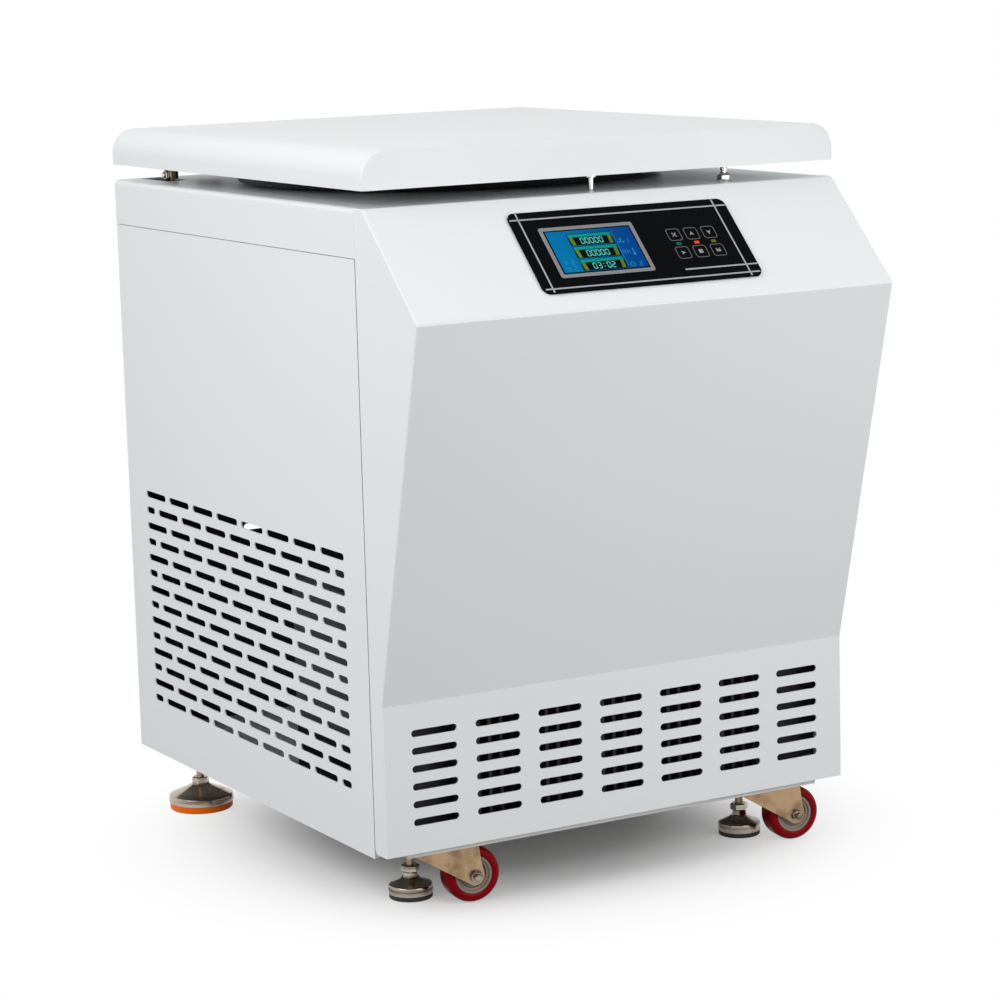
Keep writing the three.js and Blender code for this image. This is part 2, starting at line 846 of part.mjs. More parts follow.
/** Striker pin that hangs from the lid, with a neck for the lock bolt. */
function lockStriker() {
  const top = lidUnderZ - seatGap;
  const neckLow = strikerTipZ + strikerTip;
  const neckHigh = neckLow + strikerNeck;
  return turned([
    [0, strikerTipZ],
    [strikerNeckRadius, strikerTipZ],
    [strikerRadius, strikerTipZ + strikerRadius],
    [strikerRadius, neckLow],
    [strikerNeckRadius, neckLow],
    [strikerNeckRadius, neckHigh],
    [strikerRadius, neckHigh],
    [strikerRadius, top - strikerHead],
    [strikerHeadRadius, top - strikerHead],
    [strikerHeadRadius, top],
    [0, top],
  ], pinSides).translate(0, strikerY, 0);
}

const boltZ = strikerTipZ + strikerTip + strikerNeck / 2;
const boltX0 = boltRetract;

/** Lock case under the deck, with a well for the striker and a channel for the bolt. */
function lockHousing() {
  const frontY = deckFrontY + sheet + seatGap;
  const top = deckUnderZ - seatGap;
  const body = box(span(lockOffset, lockWidth), [frontY, frontY + lockDepth], [top - lockHeight, top]);
  const well = rod(strikerHeadRadius, at(0, strikerY, strikerTipZ - overrun), at(0, strikerY, top + overrun));
  const channel = box(
    [-strikerHeadRadius - lockWall, lockWidth],
    span(strikerY + boltWidth / 2 - strikerHeadRadius, boltWidth + 2 * seatGap),
    span(boltZ, boltThickness + 2 * seatGap),
  );
  return cut(body, well, channel);
}

/** Sliding lock bolt with a notch that takes the striker's neck. */
function lockBolt() {
  const y = strikerY + boltWidth / 2 - strikerHeadRadius;
  const bar = box([boltX0, boltX0 + boltLength], span(y, boltWidth), span(boltZ, boltThickness));
  const notch = box(
    [boltX0 - overrun, boltX0 + boltNotchDepth],
    span(strikerY, 2 * (strikerNeckRadius + seatGap)),
    span(boltZ, boltThickness + overrun),
  );
  return cut(bar, notch);
}

/** Chromed stop stud that stands on the deck and meets the closed lid. */
function lidStop() {
  const low = deckHeight + seatGap;
  return turned([
    [0, low],
    [stopBaseRadius, low],
    [stopBaseRadius, low + stopBase],
    [stopRadius, low + stopBase + stopRadius],
    [stopRadius, lidUnderZ - seatGap],
    [0, lidUnderZ - seatGap],
  ], hexSides).translate(stopX, strikerY, 0);
}

/** Stainless chamber bowl that hangs by its rim under the deck. */
function chamberBowl() {
  const outer = bowlRadius + sheet;
  return ring([
    [bowlHoleRadius, bowlFloorZ],
    [outer, bowlFloorZ],
    [outer, rimTopZ - sheet],
    [bowlRim, rimTopZ - sheet],
    [bowlRim, rimTopZ],
    [bowlRadius, rimTopZ],
    [bowlRadius, bowlFloorZ + sheet],
    [bowlHoleRadius, bowlFloorZ + sheet],
  ], chamberSides).translate(0, chamberY, 0);
}

const coilRadius = bowlRadius + sheet + coilClearance + coilTubeRadius;

/** Evaporator tube wound round the bowl as one unbroken helix. */
function evaporatorCoil() {
  const sides = coilSides;
  const steps = coilStepsPerTurn * coilTurnCount;
  const low = bowlFloorZ + (bowlDepth - coilTurnCount * coilPitch) / 2;
  const points = [];
  const corners = [];
  for (let i = 0; i <= steps; i += 1) {
    const angle = (2 * Math.PI * i) / coilStepsPerTurn;
    const height = low + (coilPitch * i) / coilStepsPerTurn;
    points.push(at(coilRadius * Math.cos(angle), coilRadius * Math.sin(angle), height));
    for (let k = 0; k < sides; k += 1) {
      const roll = (2 * Math.PI * k) / sides;
      const radius = coilRadius + coilTubeRadius * Math.cos(roll);
      const z = height + coilTubeRadius * Math.sin(roll);
      corners.push(radius * Math.cos(angle), radius * Math.sin(angle), z);
    }
  }
  const faces = [];
  for (let i = 0; i < steps; i += 1) {
    for (let k = 0; k < sides; k += 1) {
      const a = i * sides + k;
      const b = i * sides + ((k + 1) % sides);
      faces.push(a, b, a + sides, b, b + sides, a + sides);
    }
  }
  for (let k = 1; k < sides - 1; k += 1) {
    const end = steps * sides;
    faces.push(0, k + 1, k, end, end + k, end + k + 1);
  }
  let least = Infinity;
  for (let i = 0; i < points.length; i += 1) {
    for (let j = i + coilStepsPerTurn / 2; j < points.length; j += 1) {
      least = Math.min(least, points[i].distanceTo(points[j]) - 2 * coilTubeRadius);
    }
  }
  console.log(`evaporator_coil least gap to itself: ${least.toFixed(2)} mm`);
  const geometry = new THREE.BufferGeometry();
  geometry.setAttribute('position', new THREE.Float32BufferAttribute(corners, 3));
  geometry.setIndex(faces);
  return geometry.translate(0, chamberY, 0);
}

/** Foam shell round the bowl and the coil. */
function chamberInsulation() {
  const inner = coilRadius + coilTubeRadius + coilClearance;
  const top = rimTopZ - sheet - seatGap;
  return ring([
    [foamHoleRadius, foamBottomZ],
    [foamRadius, foamBottomZ],
    [foamRadius, top],
    [inner, top],
    [inner, foamFloorZ],
    [foamHoleRadius, foamFloorZ],
  ], chamberSides).translate(0, chamberY, 0);
}

/** The motor bolts' places round the shaft. */
function motorBoltPlaces() {
  return Array.from({ length: motorBoltCount }, (_, i) => {
    const angle = (2 * Math.PI * (i + 0.5)) / motorBoltCount;
    return [motorBoltCircle * Math.cos(angle), chamberY + motorBoltCircle * Math.sin(angle)];
  });
}

/** Welded table: plate, four angle legs and the gas springs' foot brackets. */
function chassisFrame() {
  const x = half - tableInset;
  const frontY = chamberY - foamRadius - tableFrontOverhang;
  const backY = chamberY + foamRadius + tableRearOverhang;
  let frame = box([-x, x], [frontY, backY], [tableUnderZ, tableTopZ]);
  for (const side of [-1, 1]) {
    for (const end of [-1, 1]) {
      const corner = [side * x, end < 0 ? frontY : backY];
      const angle = [
        [0, 0],
        [legSize, 0],
        [legSize, legWall],
        [legWall, legWall],
        [legWall, legSize],
        [0, legSize],
      ];
      const outline = angle.map(([u, v]) => [corner[0] - side * u, corner[1] - end * v]);
      frame = join(frame, prism(outline, 'z', floorOfCabinetZ, (tableUnderZ + tableTopZ) / 2));
    }
    const bracketInner = springX + springTubeRadius + seatGap;
    const bracketX = [side * bracketInner, side * (bracketInner + armThickness)].sort((a, b) => a - b);
    const bracketTop = springFootZ + springEyeRadius;
    const bracket = box(bracketX, span(springFootY, 2 * springEyeRadius), [tableUnderZ, bracketTop]);
    const pinEnd = side * (springX - springEyeThickness / 2 + sheet);
    const pinStart = side * (bracketInner + armThickness / 2);
    const pinPlaces = [pinStart, pinEnd].map((end) => at(end, springFootY, springFootZ));
    const pin = rod(springPinRadius, ...pinPlaces);
    frame = join(frame, bracket, pin);
  }
  const low = tableUnderZ - overrun;
  const high = tableTopZ + overrun;
  frame = cut(frame, rod(tableHoleRadius, at(0, chamberY, low), at(0, chamberY, high), chamberSides));
  for (const [boltX, y] of motorBoltPlaces()) {
    const hole = rod(motorBoltRadius + seatGap, at(boltX, y, low), at(boltX, y, high), pinSides);
    frame = cut(frame, hole);
  }
  return frame;
}

const mountTopZ = tableUnderZ - seatGap;
const motorTopZ = mountTopZ - mountRingHeight - seatGap;

/** Rubber ring between the table and the motor's flange. */
function motorMountRing() {
  const low = mountTopZ - mountRingHeight;
  let body = ring([
    [tableHoleRadius, low],
    [motorFlangeRadius, low],
    [motorFlangeRadius, mountTopZ],
    [tableHoleRadius, mountTopZ],
  ], wheelSides).translate(0, chamberY, 0);
  for (const [x, y] of motorBoltPlaces()) {
    const ends = [low - overrun, mountTopZ + overrun].map((z) => at(x, y, z));
    body = cut(body, rod(motorBoltRadius + seatGap, ...ends, pinSides));
  }
  return body;
}

/** Motor with a blind shaft bore and the bolts that go up through the ring and the table. */
function driveMotor() {
  const bottom = floorOfCabinetZ + motorClearance;
  const shell = turned([
    [0, bottom],
    [motorRadius - motorTaper, bottom],
    [motorRadius, bottom + motorTaper],
    [motorRadius, motorTopZ - motorFlange],
    [motorFlangeRadius, motorTopZ - motorFlange],
    [motorFlangeRadius, motorTopZ],
    [shaftRadius + seatGap, motorTopZ],
    [shaftRadius + seatGap, motorTopZ - shaftInMotor],
    [0, motorTopZ - shaftInMotor],
  ], wheelSides).translate(0, chamberY, 0);
  const bolts = motorBoltPlaces().map(([x, y]) => {
    return rod(motorBoltRadius, at(x, y, motorTopZ - motorFlange / 2), at(x, y, tableTopZ), pinSides);
  });
  return join(shell, ...bolts);
}

/** Shaft from the motor to the rotor, with the nut that holds the rotor down. */
function driveShaft() {
  const bottom = motorTopZ - shaftInMotor + seatGap;
  const nutLow = pivotZ + rotorHubAbove + seatGap;
  return turned([
    [0, bottom],
    [shaftRadius, bottom],
    [shaftRadius, nutLow],
    [rotorNutRadius, nutLow],
    [rotorNutRadius, nutLow + rotorNut - rotorNutChamfer],
    [rotorNutRadius - rotorNutChamfer, nutLow + rotorNut],
    [0, nutLow + rotorNut],
  ]).translate(0, chamberY, 0);
}

const notchRadius = bucketRadius + lugReach + notchClearance;
const notchCentre = pivotRadius - Math.hypot(lugWidth, lugHeight) / 2 - notchClearance;

/** Swing-out rotor: a plate with four round notches, trunnion pins and a hub. */
function rotorHead() {
  const quarter = [
    ...arc(notchCentre, 0, notchRadius, 270, 90, notchSteps),
    [rotorHalfWidth, notchRadius],
    [rotorHalfWidth, rotorHalfWidth - rotorCorner],
    [rotorHalfWidth - rotorCorner, rotorHalfWidth],
    [notchRadius, rotorHalfWidth],
  ];
  const turnBy = (k) => ([u, v]) => [[u, v], [-v, u], [-u, -v], [v, -u]][k];
  const outline = [0, 1, 2, 3].flatMap((k) => quarter.map(turnBy(k)));
  let head = prism(outline, 'z', -rotorThickness / 2, rotorThickness / 2);
  head = join(head, rod(rotorHubRadius, at(0, 0, -rotorHubBelow), at(0, 0, rotorHubAbove), wheelSides));
  const pins = [0, 1, 2, 3].flatMap((k) => [-1, 1].map((side) => {
    const [x0, y0] = turnBy(k)([pivotRadius, side * (notchRadius + trunnionReach)]);
    const [x1, y1] = turnBy(k)([pivotRadius, side * (notchRadius - trunnionReach)]);
    return rod(trunnionRadius, at(x0, y0, 0), at(x1, y1, 0), pinSides);
  }));
  head = join(head, ...pins);
  return cut(head, rod(shaftRadius + seatGap, at(0, 0, -bucketBelow), at(0, 0, bucketBelow)));
}

/** Swing-out bucket about its pivot, with two lugs that hook over the trunnions. */
function bucket() {
  const inner = bucketRadius - bucketWall;
  const pocketRadius = (trunnionRadius + seatGap) / Math.cos(Math.PI / pinSides);
  let cup = turned([
    [0, -bucketBelow],
    [bucketRadius - bucketChamfer, -bucketBelow],
    [bucketRadius, -bucketBelow + bucketChamfer],
    [bucketRadius, bucketAbove],
    [inner, bucketAbove],
    [inner, -bucketBelow + bucketFloor],
    [0, -bucketBelow + bucketFloor],
  ], wheelSides);
  for (const side of [-1, 1]) {
    const wallY = side * (bucketRadius - bucketWall / 2);
    const faceY = side * (bucketRadius + lugReach);
    const lugY = [wallY, faceY].sort((a, b) => a - b);
    cup = join(cup, box(span(0, lugWidth), lugY, span(0, lugHeight)));
    const pocketEnd = side * (notchRadius - trunnionReach - 2 * seatGap);
    const pocketMouth = faceY + side * overrun;
    cup = cut(cup, rod(pocketRadius, at(0, pocketEnd, 0), at(0, pocketMouth, 0), pinSides));
  }
  return cup;
}

const axleZ = wheelRadius;

/** A caster's side plate outline, from the pivot at zero, in trail and height. */
function forkOutline(top) {
  return [
    [-forkBack, top],
    [forkNose, top],
    [forkNose + forkShoulder, top - forkShoulderDrop],
    ...arc(forkTrail, axleZ, forkTipRadius, forkTipFront, forkTipBack, tipSteps),
    [-forkBack, top - forkBackDepth],
  ];
}

const forkHalf = wheelWidth / 2 + forkGap;

/** Swivel fork about its kingpin, with the wheel trailing towards +X and its axle along Y. */
function casterFork() {
  const discTop = baseUnderZ - seatGap;
  const top = discTop - forkDisc;
  const plates = [-1, 1].map((side) => {
    const y = [side * forkHalf, side * (forkHalf + forkPlate)].sort((a, b) => a - b);
    return prism(forkOutline(top), 'y', y[0], y[1]);
  });
  const crown = box([-forkBack, forkNose], span(0, 2 * (forkHalf + forkPlate)), [top - forkPlate, top]);
  const disc = rod(forkDiscRadius, at(0, 0, top - forkPlate / 2), at(0, 0, discTop), wheelSides);
  const kingpin = rod(kingpinRadius, at(0, 0, top), at(0, 0, baseTopZ + forkDisc));
  const outer = forkHalf + forkPlate + axleNut;
  const axle = rod(axleRadius, at(forkTrail, -outer, axleZ), at(forkTrail, outer, axleZ));
  const nuts = [-1, 1].map((side) => {
    const inside = side * (forkHalf + forkPlate / 2);
    return rod(axleNutRadius, at(forkTrail, inside, axleZ), at(forkTrail, side * outer, axleZ), hexSides);
  });
  return join(crown, disc, kingpin, axle, ...plates, ...nuts);
}

/** Wheel about its own centre, with its axle along Y. */
function casterWheel() {
  const tread = wheelWidth / 2;
  const hub = wheelHubWidth / 2;
  const shoulder = wheelRadius - forkPlate;
  return ring([
    [wheelBoreRadius, -tread],
    [axleNutRadius, -tread],
    [wheelHubRadius, -hub],
    [wheelHubRadius + forkPlate, -tread],
    [shoulder, -tread],
    [wheelRadius, -hub],
    [wheelRadius, hub],
    [shoulder, tread],
    [wheelHubRadius + forkPlate, tread],
    [wheelHubRadius, hub],
    [axleNutRadius, tread],
    [wheelBoreRadius, tread],
  ], wheelSides).rotateX(Math.PI / 2);
}

const frontCasterX = half - frontCasterInset;
const frontCasterY = kneeY + frontCasterFromKnee;
const rearCasterY = rearY - rearCasterFromRear;
const footPlaces = {
  front_left: [-(half - frontFootInset), kneeY + frontFootFromKnee],
  front_right: [half - frontFootInset, kneeY + frontFootFromKnee],
  rear_left: [-(half - rearFootInset), rearY - rearFootFromRear],
  rear_right: [half - rearFootInset, rearY - rearFootFromRear],
};

/** Base tray with its folded lips, the feet's holes and the two fixed rear caster brackets. */
function baseFrame() {
  const outer = box([-baseX, baseX], [baseFrontY, baseRearY], [baseBottomZ, baseTopZ]);
  const inner = box(
    [-baseX + sheet, baseX - sheet],
    [baseFrontY + sheet, baseRearY - sheet],
    [baseBottomZ - overrun, baseUnderZ],
  );
  let frame = cut(outer, inner);
  const through = (radius, x, y) => {
    return rod(radius, at(x, y, baseUnderZ - overrun), at(x, y, baseTopZ + overrun));
  };
  for (const [x, y] of Object.values(footPlaces)) frame = cut(frame, through(stemRadius + seatGap, x, y));
  for (const side of [-1, 1]) {
    frame = cut(frame, through(kingpinRadius + seatGap, side * frontCasterX, frontCasterY));
    const x = side * rearCasterOffset;
    const outline = [
      [rearCasterY - forkBack, baseUnderZ + basePlate / 2],
      ...arc(rearCasterY, axleZ, forkTipRadius, bracketTipStart, bracketTipEnd, tipSteps),
      [rearCasterY + forkBack, baseUnderZ + basePlate / 2],
    ];
    const plates = [-1, 1].map((face) => {
      const [x0, x1] = [x + face * forkHalf, x + face * (forkHalf + forkPlate)].sort((a, b) => a - b);
      return prism(outline, 'x', x0, x1);
    });
    const reach = forkHalf + forkPlate / 2;
    const axle = rod(axleRadius, at(x - reach, rearCasterY, axleZ), at(x + reach, rearCasterY, axleZ));
    frame = join(frame, ...plates, axle);
  }
  return frame;
}

/** Levelling foot about its own axis: rubber pad, plated disc, collar, lock nut and threaded stem. */
function levellingFoot(padRadius, pad, rim, dome) {
  const rimTop = pad + rim;
  const domeTop = rimTop + dome;
  const disc = turned([
    [0, 0],
    [padRadius - sheet, 0],
    [padRadius, sheet],
    [padRadius, rimTop],
    [padRadius - rim / 2, rimTop + sheet],
    [footCollarRadius, domeTop],
    [0, domeTop],
  ], wheelSides);
  const collarTop = domeTop + footCollar;
  const collar = rod(footCollarRadius, at(0, 0, domeTop - sheet), at(0, 0, collarTop), hexSides);
  const nut = rod(footNutRadius, at(0, 0, collarTop - sheet), at(0, 0, collarTop + footNut), hexSides);
  const stem = rod(stemRadius, at(0, 0, domeTop), at(0, 0, baseTopZ + stemAbovePlate), pinSides);
  return join(disc, collar, nut, stem);
}

const condenserFrontY = footFaceY + condenserFromFace;
const condenserBackY = condenserFrontY + condenserDepth;
const condenserHeight = bayHeight * condenserShare;
const condenserTopZ = floorOfCabinetZ + condenserHeight;

/** Condenser block: fins towards the front slots, on a solid spine. */
function condenser() {
  const pitch = condenserWidth / condenserFinCount;
  const spineY = condenserBackY - condenserSpine;
  const outline = [[condenserWidth / 2, condenserBackY], [-condenserWidth / 2, condenserBackY]];
  for (let i = 0; i < condenserFinCount; i += 1) {
    const x = -condenserWidth / 2 + i * pitch;
    const finEnd = x + pitch * condenserFinShare;
    outline.push([x, condenserFrontY], [finEnd, condenserFrontY], [finEnd, spineY]);
    if (i < condenserFinCount - 1) outline.push([x + pitch, spineY]);
  }
  outline.push([condenserWidth / 2, spineY]);
  return prism(outline, 'z', floorOfCabinetZ, condenserTopZ);
}

const shroudFrontY = condenserBackY + seatGap;
const shroudBackY = shroudFrontY + shroudDepth;
const fanZ = floorOfCabinetZ + condenserHeight / 2;
const fanRadius = condenserHeight / 2 - fanFromEdge;
const fanBackY = shroudBackY - seatGap;

/** Fan shroud with its round throat, spider and fan motor. */
function fanShroud() {
  const throat = fanRadius + fanClearance;
  const body = box(span(0, shroudWidth), [shroudFrontY, shroudBackY], [floorOfCabinetZ, condenserTopZ]);
  const along = (radius, from, to, sides) => rod(radius, at(0, from, fanZ), at(0, to, fanZ), sides);
  const hole = along(throat, shroudFrontY - overrun, shroudBackY + overrun, wheelSides);
  const barY = [shroudBackY - sheet, shroudBackY + spiderBar];
  const across = box(span(0, 2 * throat + spiderBar), barY, span(fanZ, spiderBar));
  const upright = box(span(0, spiderBar), barY, span(fanZ, 2 * throat + spiderBar));
  const shell = cut(body, hole);
  const spiderHole = along(fanMotorRadius, shroudFrontY, shroudBackY, wheelSides);
  const spider = cut(join(across, upright), spiderHole);
  const motor = along(fanMotorRadius, shroudBackY, shroudBackY + fanMotorDepth, wheelSides);
  const shaft = along(fanShaftRadius, fanBackY - fanHubDepth / 2, shroudBackY + sheet, pinSides);
  return join(shell, spider, motor, shaft);
}

/** Axial fan about its own axis, which points along -Y from the hub's back face. */
function condenserFan() {
  const hub = rod(fanHubRadius, at(0, 0, 0), at(0, -fanHubDepth, 0), wheelSides);
  const blades = Array.from({ length: fanBladeCount }, (_, i) => {
    const length = fanRadius - fanHubRadius / 2;
    const blade = new THREE.BoxGeometry(fanBladeThickness, fanBladeChord, length);
    blade.rotateZ(THREE.MathUtils.degToRad(90 - fanBladePitch));
    blade.translate(0, -fanHubDepth / 2, fanHubRadius / 2 + length / 2);
    return blade.rotateY((2 * Math.PI * i) / fanBladeCount);
  });
  const depth = -fanHubDepth / 2 - 2 * seatGap;
  const bore = rod(fanShaftRadius + seatGap, at(0, depth, 0), at(0, overrun, 0), pinSides);
  return cut(join(hub, ...blades), bore);
}

const compressorY = kneeY + compressorFromKnee;
const compressorX = half - compressorFromSide;
const compressorHeight = bayHeight - compressorHeadroom;
const compressorTopZ = floorOfCabinetZ + compressorHeight;

/** Hermetic compressor can with its weld seam and its foot. */
function compressor() {
  const low = floorOfCabinetZ;
  const middle = low + compressorHeight / 2;
  const dome = compressorRadius / 3;
  return turned([
    [0, low],
    [compressorRadius - dome / 2, low],
    [compressorRadius - compressorSeam, low + dome],
    [compressorRadius - compressorSeam, middle],
    [compressorRadius, middle],
    [compressorRadius, middle + compressorSeam],
    [compressorRadius - compressorSeam, middle + compressorSeam],
    [compressorRadius - compressorSeam, compressorTopZ - dome],
    [compressorRadius - dome, compressorTopZ - dome / 4],
    [lineRadius * 2, compressorTopZ],
    [0, compressorTopZ],
  ], wheelSides).translate(compressorX, compressorY, 0);
}

/** Copper line from the compressor's top to the condenser's right end. */
function refrigerantLine() {
  const endX = condenserWidth / 2 - lineRise / 2;
  const endY = (condenserBackY + condenserBackY - condenserSpine) / 2;
  const start = compressorTopZ + seatGap;
  const end = condenserTopZ + seatGap;
  const route = new THREE.CatmullRomCurve3([
    at(compressorX, compressorY, start),
    at(compressorX, compressorY, start + lineRise / 2),
    at(compressorX, compressorY, start + lineRise),
    at((compressorX + endX) / 2, (compressorY + endY) / 2, start + 2 * lineRise),
    at(endX, endY, end + 2 * lineRise),
    at(endX, endY, end + lineRise),
    at(endX, endY, end),
  ], false, 'centripetal');
  const section = new THREE.Shape(arc(0, 0, lineRadius, 0, 300, 5).map(([u, v]) => new THREE.Vector2(u, v)));
  return new THREE.ExtrudeGeometry(section, { steps: lineSteps, extrudePath: route, bevelEnabled: false });
}

/** Drive electronics box with heat-sink fins on its inner side. */
function controlBox() {
  const x0 = -half + boxFromSide;
  const x1 = x0 + boxWidth;
  const y0 = kneeY + boxFromKnee;
  const y1 = y0 + boxDepth;
  const pitch = boxDepth / boxFinCount;
  const outline = [[x0, y1], [x0, y0]];
  for (let i = 0; i < boxFinCount; i += 1) {
    const y = y0 + i * pitch;
    outline.push([x1, y], [x1, y + pitch / 3], [x1 - boxFinDepth, y + pitch / 3]);
    if (i < boxFinCount - 1) outline.push([x1 - boxFinDepth, y + pitch]);
  }
  outline.push([x1 - boxFinDepth, y1]);
  return prism(outline, 'z', floorOfCabinetZ, tableUnderZ - boxHeadroom);
}

const socketZ = inletHeight - socketDrop;
const rockerZ = inletHeight + rockerLift;

/** Mains inlet and switch case, let into the rear panel. */
function mainsInlet() {
  const faceY = rearY + seatGap + inletPlate;
  const plateY = [rearY + seatGap, faceY];
  const plate = box(span(inletX, inletPlateWidth), plateY, span(inletHeight, inletPlateHeight));
  const back = faceY - inletBodyDepth;
  const bodyY = [back, rearY + inletPlate];
  const body = box(span(inletX, inletBodyWidth), bodyY, span(inletHeight, inletBodyHeight));
  const socketY = [faceY - socketDepth, faceY + overrun];
  const socket = box(span(inletX, socketWidth), socketY, span(socketZ, socketHeight));
  const pocket = box(
    span(inletX, rockerWidth + 2 * seatGap),
    [faceY - rockerPocketDepth, faceY + overrun],
    span(rockerZ, rockerHeight + 3 * sheet),
  );
  return cut(join(plate, body), socket, pocket);
}

const rockerPivotY = rearY + inletPlate - rockerDepth + sheet;

/** Switch rocker about its own pivot. */
function rocker() {
  const peak = sheet;
  const outline = [
    [-rockerDepth / 2, -rockerHeight / 2 + sheet],
    [rockerDepth / 2, -rockerHeight / 2],
    [rockerDepth / 2 - peak, 0],
    [rockerDepth / 2, rockerHeight / 2],
    [-rockerDepth / 2, rockerHeight / 2 - sheet],
  ];
  return prism(outline, 'x', -rockerWidth / 2, rockerWidth / 2);
}

/** The six keys: column, row and name. */
const keyNames = [
  ['key_mode', 'key_up', 'key_down'],
  ['key_start', 'key_stop', 'key_enter'],
];

/** Every key's place on the overlay. */
function keyPlaces() {
  return keyNames.flatMap((names, row) => names.map((name, column) => ({
    name,
    x: keyBlockX + (column - 1) * keyPitch,
    y: keyBlockY + (0.5 - row) * keyRowPitch,
  })));
}

/** An eight-cornered key outline about a centre. */
function keyOutline(x, y, size, corner) {
  const far = size / 2;
  const near = far - corner;
  const quarter = [[far, near], [near, far]];
  const flipped = [[near, far], [far, near]];
  return [
    ...quarter,
    ...flipped.map(([u, v]) => [-u, v]),
    ...quarter.map(([u, v]) => [-u, -v]),
    ...flipped.map(([u, v]) => [u, -v]),
  ].map(([u, v]) => [x + u, y + v]);
}

/** Overlay plate with the display's cut-out and a pocket for each key. */
function controlPanel() {
  const centred = roundedRectangle(overlayWidth, overlayHeight, overlayCorner);
  const outline = centred.map(([u, v]) => [u, v + overlayY]);
  const width = bezelWidth + 2 * seatGap;
  const height = bezelHeight + 2 * seatGap;
  let plate = prism(outline, 'z', seatGap, overlayTop);
  plate = cut(plate, box(span(bezelX, width), span(bezelY, height), span(0, bezelDepth)));
  for (const { x, y } of keyPlaces()) {
    const pocket = keyOutline(x, y, keySize + 2 * seatGap, keyCorner);
    plate = cut(plate, prism(pocket, 'z', overlayTop - keyPocket, overlayTop + overrun));
  }
  return plate;
}

/** Display module: bezel in front, body behind the cover. */
function displayBezel() {
  const top = overlayTop + bezelProud;
  const body = box(span(bezelX, bezelWidth), span(bezelY, bezelHeight), [-bezelDepth, top]);
  const pocket = box(
    span(bezelX, screenWidth + 2 * seatGap),
    span(bezelY, screenHeight + 2 * seatGap),
    [top - screenPocket, top + overrun],
  );
  return cut(body, pocket);
}

/** Display glass in the bezel's pocket. */
function displayScreen() {
  const low = overlayTop + bezelProud - screenPocket + seatGap;
  return box(span(bezelX, screenWidth), span(bezelY, screenHeight), [low, low + screenThickness]);
}

// Cabinet
piece('base_frame', baseFrame(), greyPaint);
piece('chassis_frame', chassisFrame(), greyPaint);
piece('left_side_panel', sidePanel(-1), whitePaint);
piece('right_side_panel', sidePanel(1), whitePaint);
piece('rear_panel', rearPanel(), whitePaint);
piece('front_cover', frontCover(), whitePaint);
piece('top_deck', topDeck(), whitePaint);

// Chamber and drive
piece('chamber_bowl', chamberBowl(), stainless);
piece('evaporator_coil', evaporatorCoil(), copper);
piece('chamber_insulation', chamberInsulation(), foam);
piece('motor_mount_ring', motorMountRing(), blackRubber);
piece('drive_motor', driveMotor(), aluminium);
piece('drive_shaft', driveShaft(), stainless);
const rotor = subgroup(centrifuge, at(0, chamberY, pivotZ));
piece('rotor_head', rotorHead(), aluminium, rotor);
for (let i = 0; i < bucketCount; i += 1) {
  const angle = (360 * i) / bucketCount;
  const spoke = subgroup(rotor, at(0, 0, 0), [0, 0, angle]);
  const hanger = subgroup(spoke, at(pivotRadius, 0, 0));
  piece(`bucket_${i + 1}`, bucket(), aluminium, hanger);
}

// Lid and its hinge
piece('lid_cover', lidCover(), whitePaint);
piece('lid_inner_plate', lidInnerPlate(), whitePaint);
piece('lid_liner', lidLiner(), blackPlastic);
piece('lid_gasket', lidGasket(), blackRubber);
piece('lock_striker', lockStriker(), chromePlate);
piece('lid_lock_housing', lockHousing(), blackPlastic);
piece('lock_bolt', lockBolt(), zinc);
piece('lid_stop', lidStop(), chromePlate);
piece('hinge_shaft', hingeShaft(), stainless);
for (const [name, side] of [['left', -1], ['right', 1]]) {
  piece(`hinge_arm_${name}`, hingeArm(side), zinc);
  const spring = subgroup(centrifuge, at(side * springX, springFootY, springFootZ), [-springLean, 0, 0]);
  piece(`gas_spring_tube_${name}`, springTube(), blackSteel, spring);
  piece(`gas_spring_rod_${name}`, springRod(), chromePlate, spring);
}

// Refrigeration and electrics
piece('condenser', condenser(), aluminium);
piece('fan_shroud', fanShroud(), blackSteel);
piece('condenser_fan', condenserFan(), aluminium, subgroup(centrifuge, at(0, fanBackY, fanZ)));
piece('compressor', compressor(), blackSteel);
piece('refrigerant_line', refrigerantLine(), copper);
piece('control_box', controlBox(), aluminium);
piece('mains_inlet', mainsInlet(), blackPlastic);
const rockerPlace = at(inletX, rockerPivotY, rockerZ);
piece('power_rocker', rocker(), blackPlastic, subgroup(centrifuge, rockerPlace, [rockerTilt, 0, 0]));

// Control panel
const { place: panelMiddle, turn: panelTurn } = panelPlace();
const panel = subgroup(centrifuge, panelMiddle, panelTurn);
piece('control_panel', controlPanel(), blackGloss, panel);
piece('display_bezel', displayBezel(), greyPlastic, panel);
piece('display_screen', displayScreen(), blueScreen, panel);
for (const { name, x, y } of keyPlaces()) {
  const outline = keyOutline(x, y, keySize, keyCorner);
  piece(name, prism(outline, 'z', overlayTop - keyThickness, overlayTop), blackGloss, panel);
}

// Feet and casters
for (const [name, [x, y]] of Object.entries(footPlaces)) {
  const sizes = name.startsWith('front')
    ? [frontPadRadius, frontPad, frontRim, frontDome]
    : [rearPadRadius, rearPad, rearRim, rearDome];
  piece(`${name}_foot`, levellingFoot(...sizes), chromePlate, subgroup(centrifuge, at(x, y, 0)));
}
for (const [name, side] of [['left', -1], ['right', 1]]) {
  const swivel = subgroup(centrifuge, at(side * frontCasterX, frontCasterY, 0), [0, 0, casterRestAngle]);
  piece(`front_${name}_caster_fork`, casterFork(), zinc, swivel);
  piece(`front_${name}_wheel`, casterWheel(), redTyre, subgroup(swivel, at(forkTrail, 0, axleZ)));
  const rearAxle = subgroup(centrifuge, at(side * rearCasterOffset, rearCasterY, axleZ), [0, 0, 90]);
  piece(`rear_${name}_wheel`, casterWheel(), redTyre, rearAxle);
}

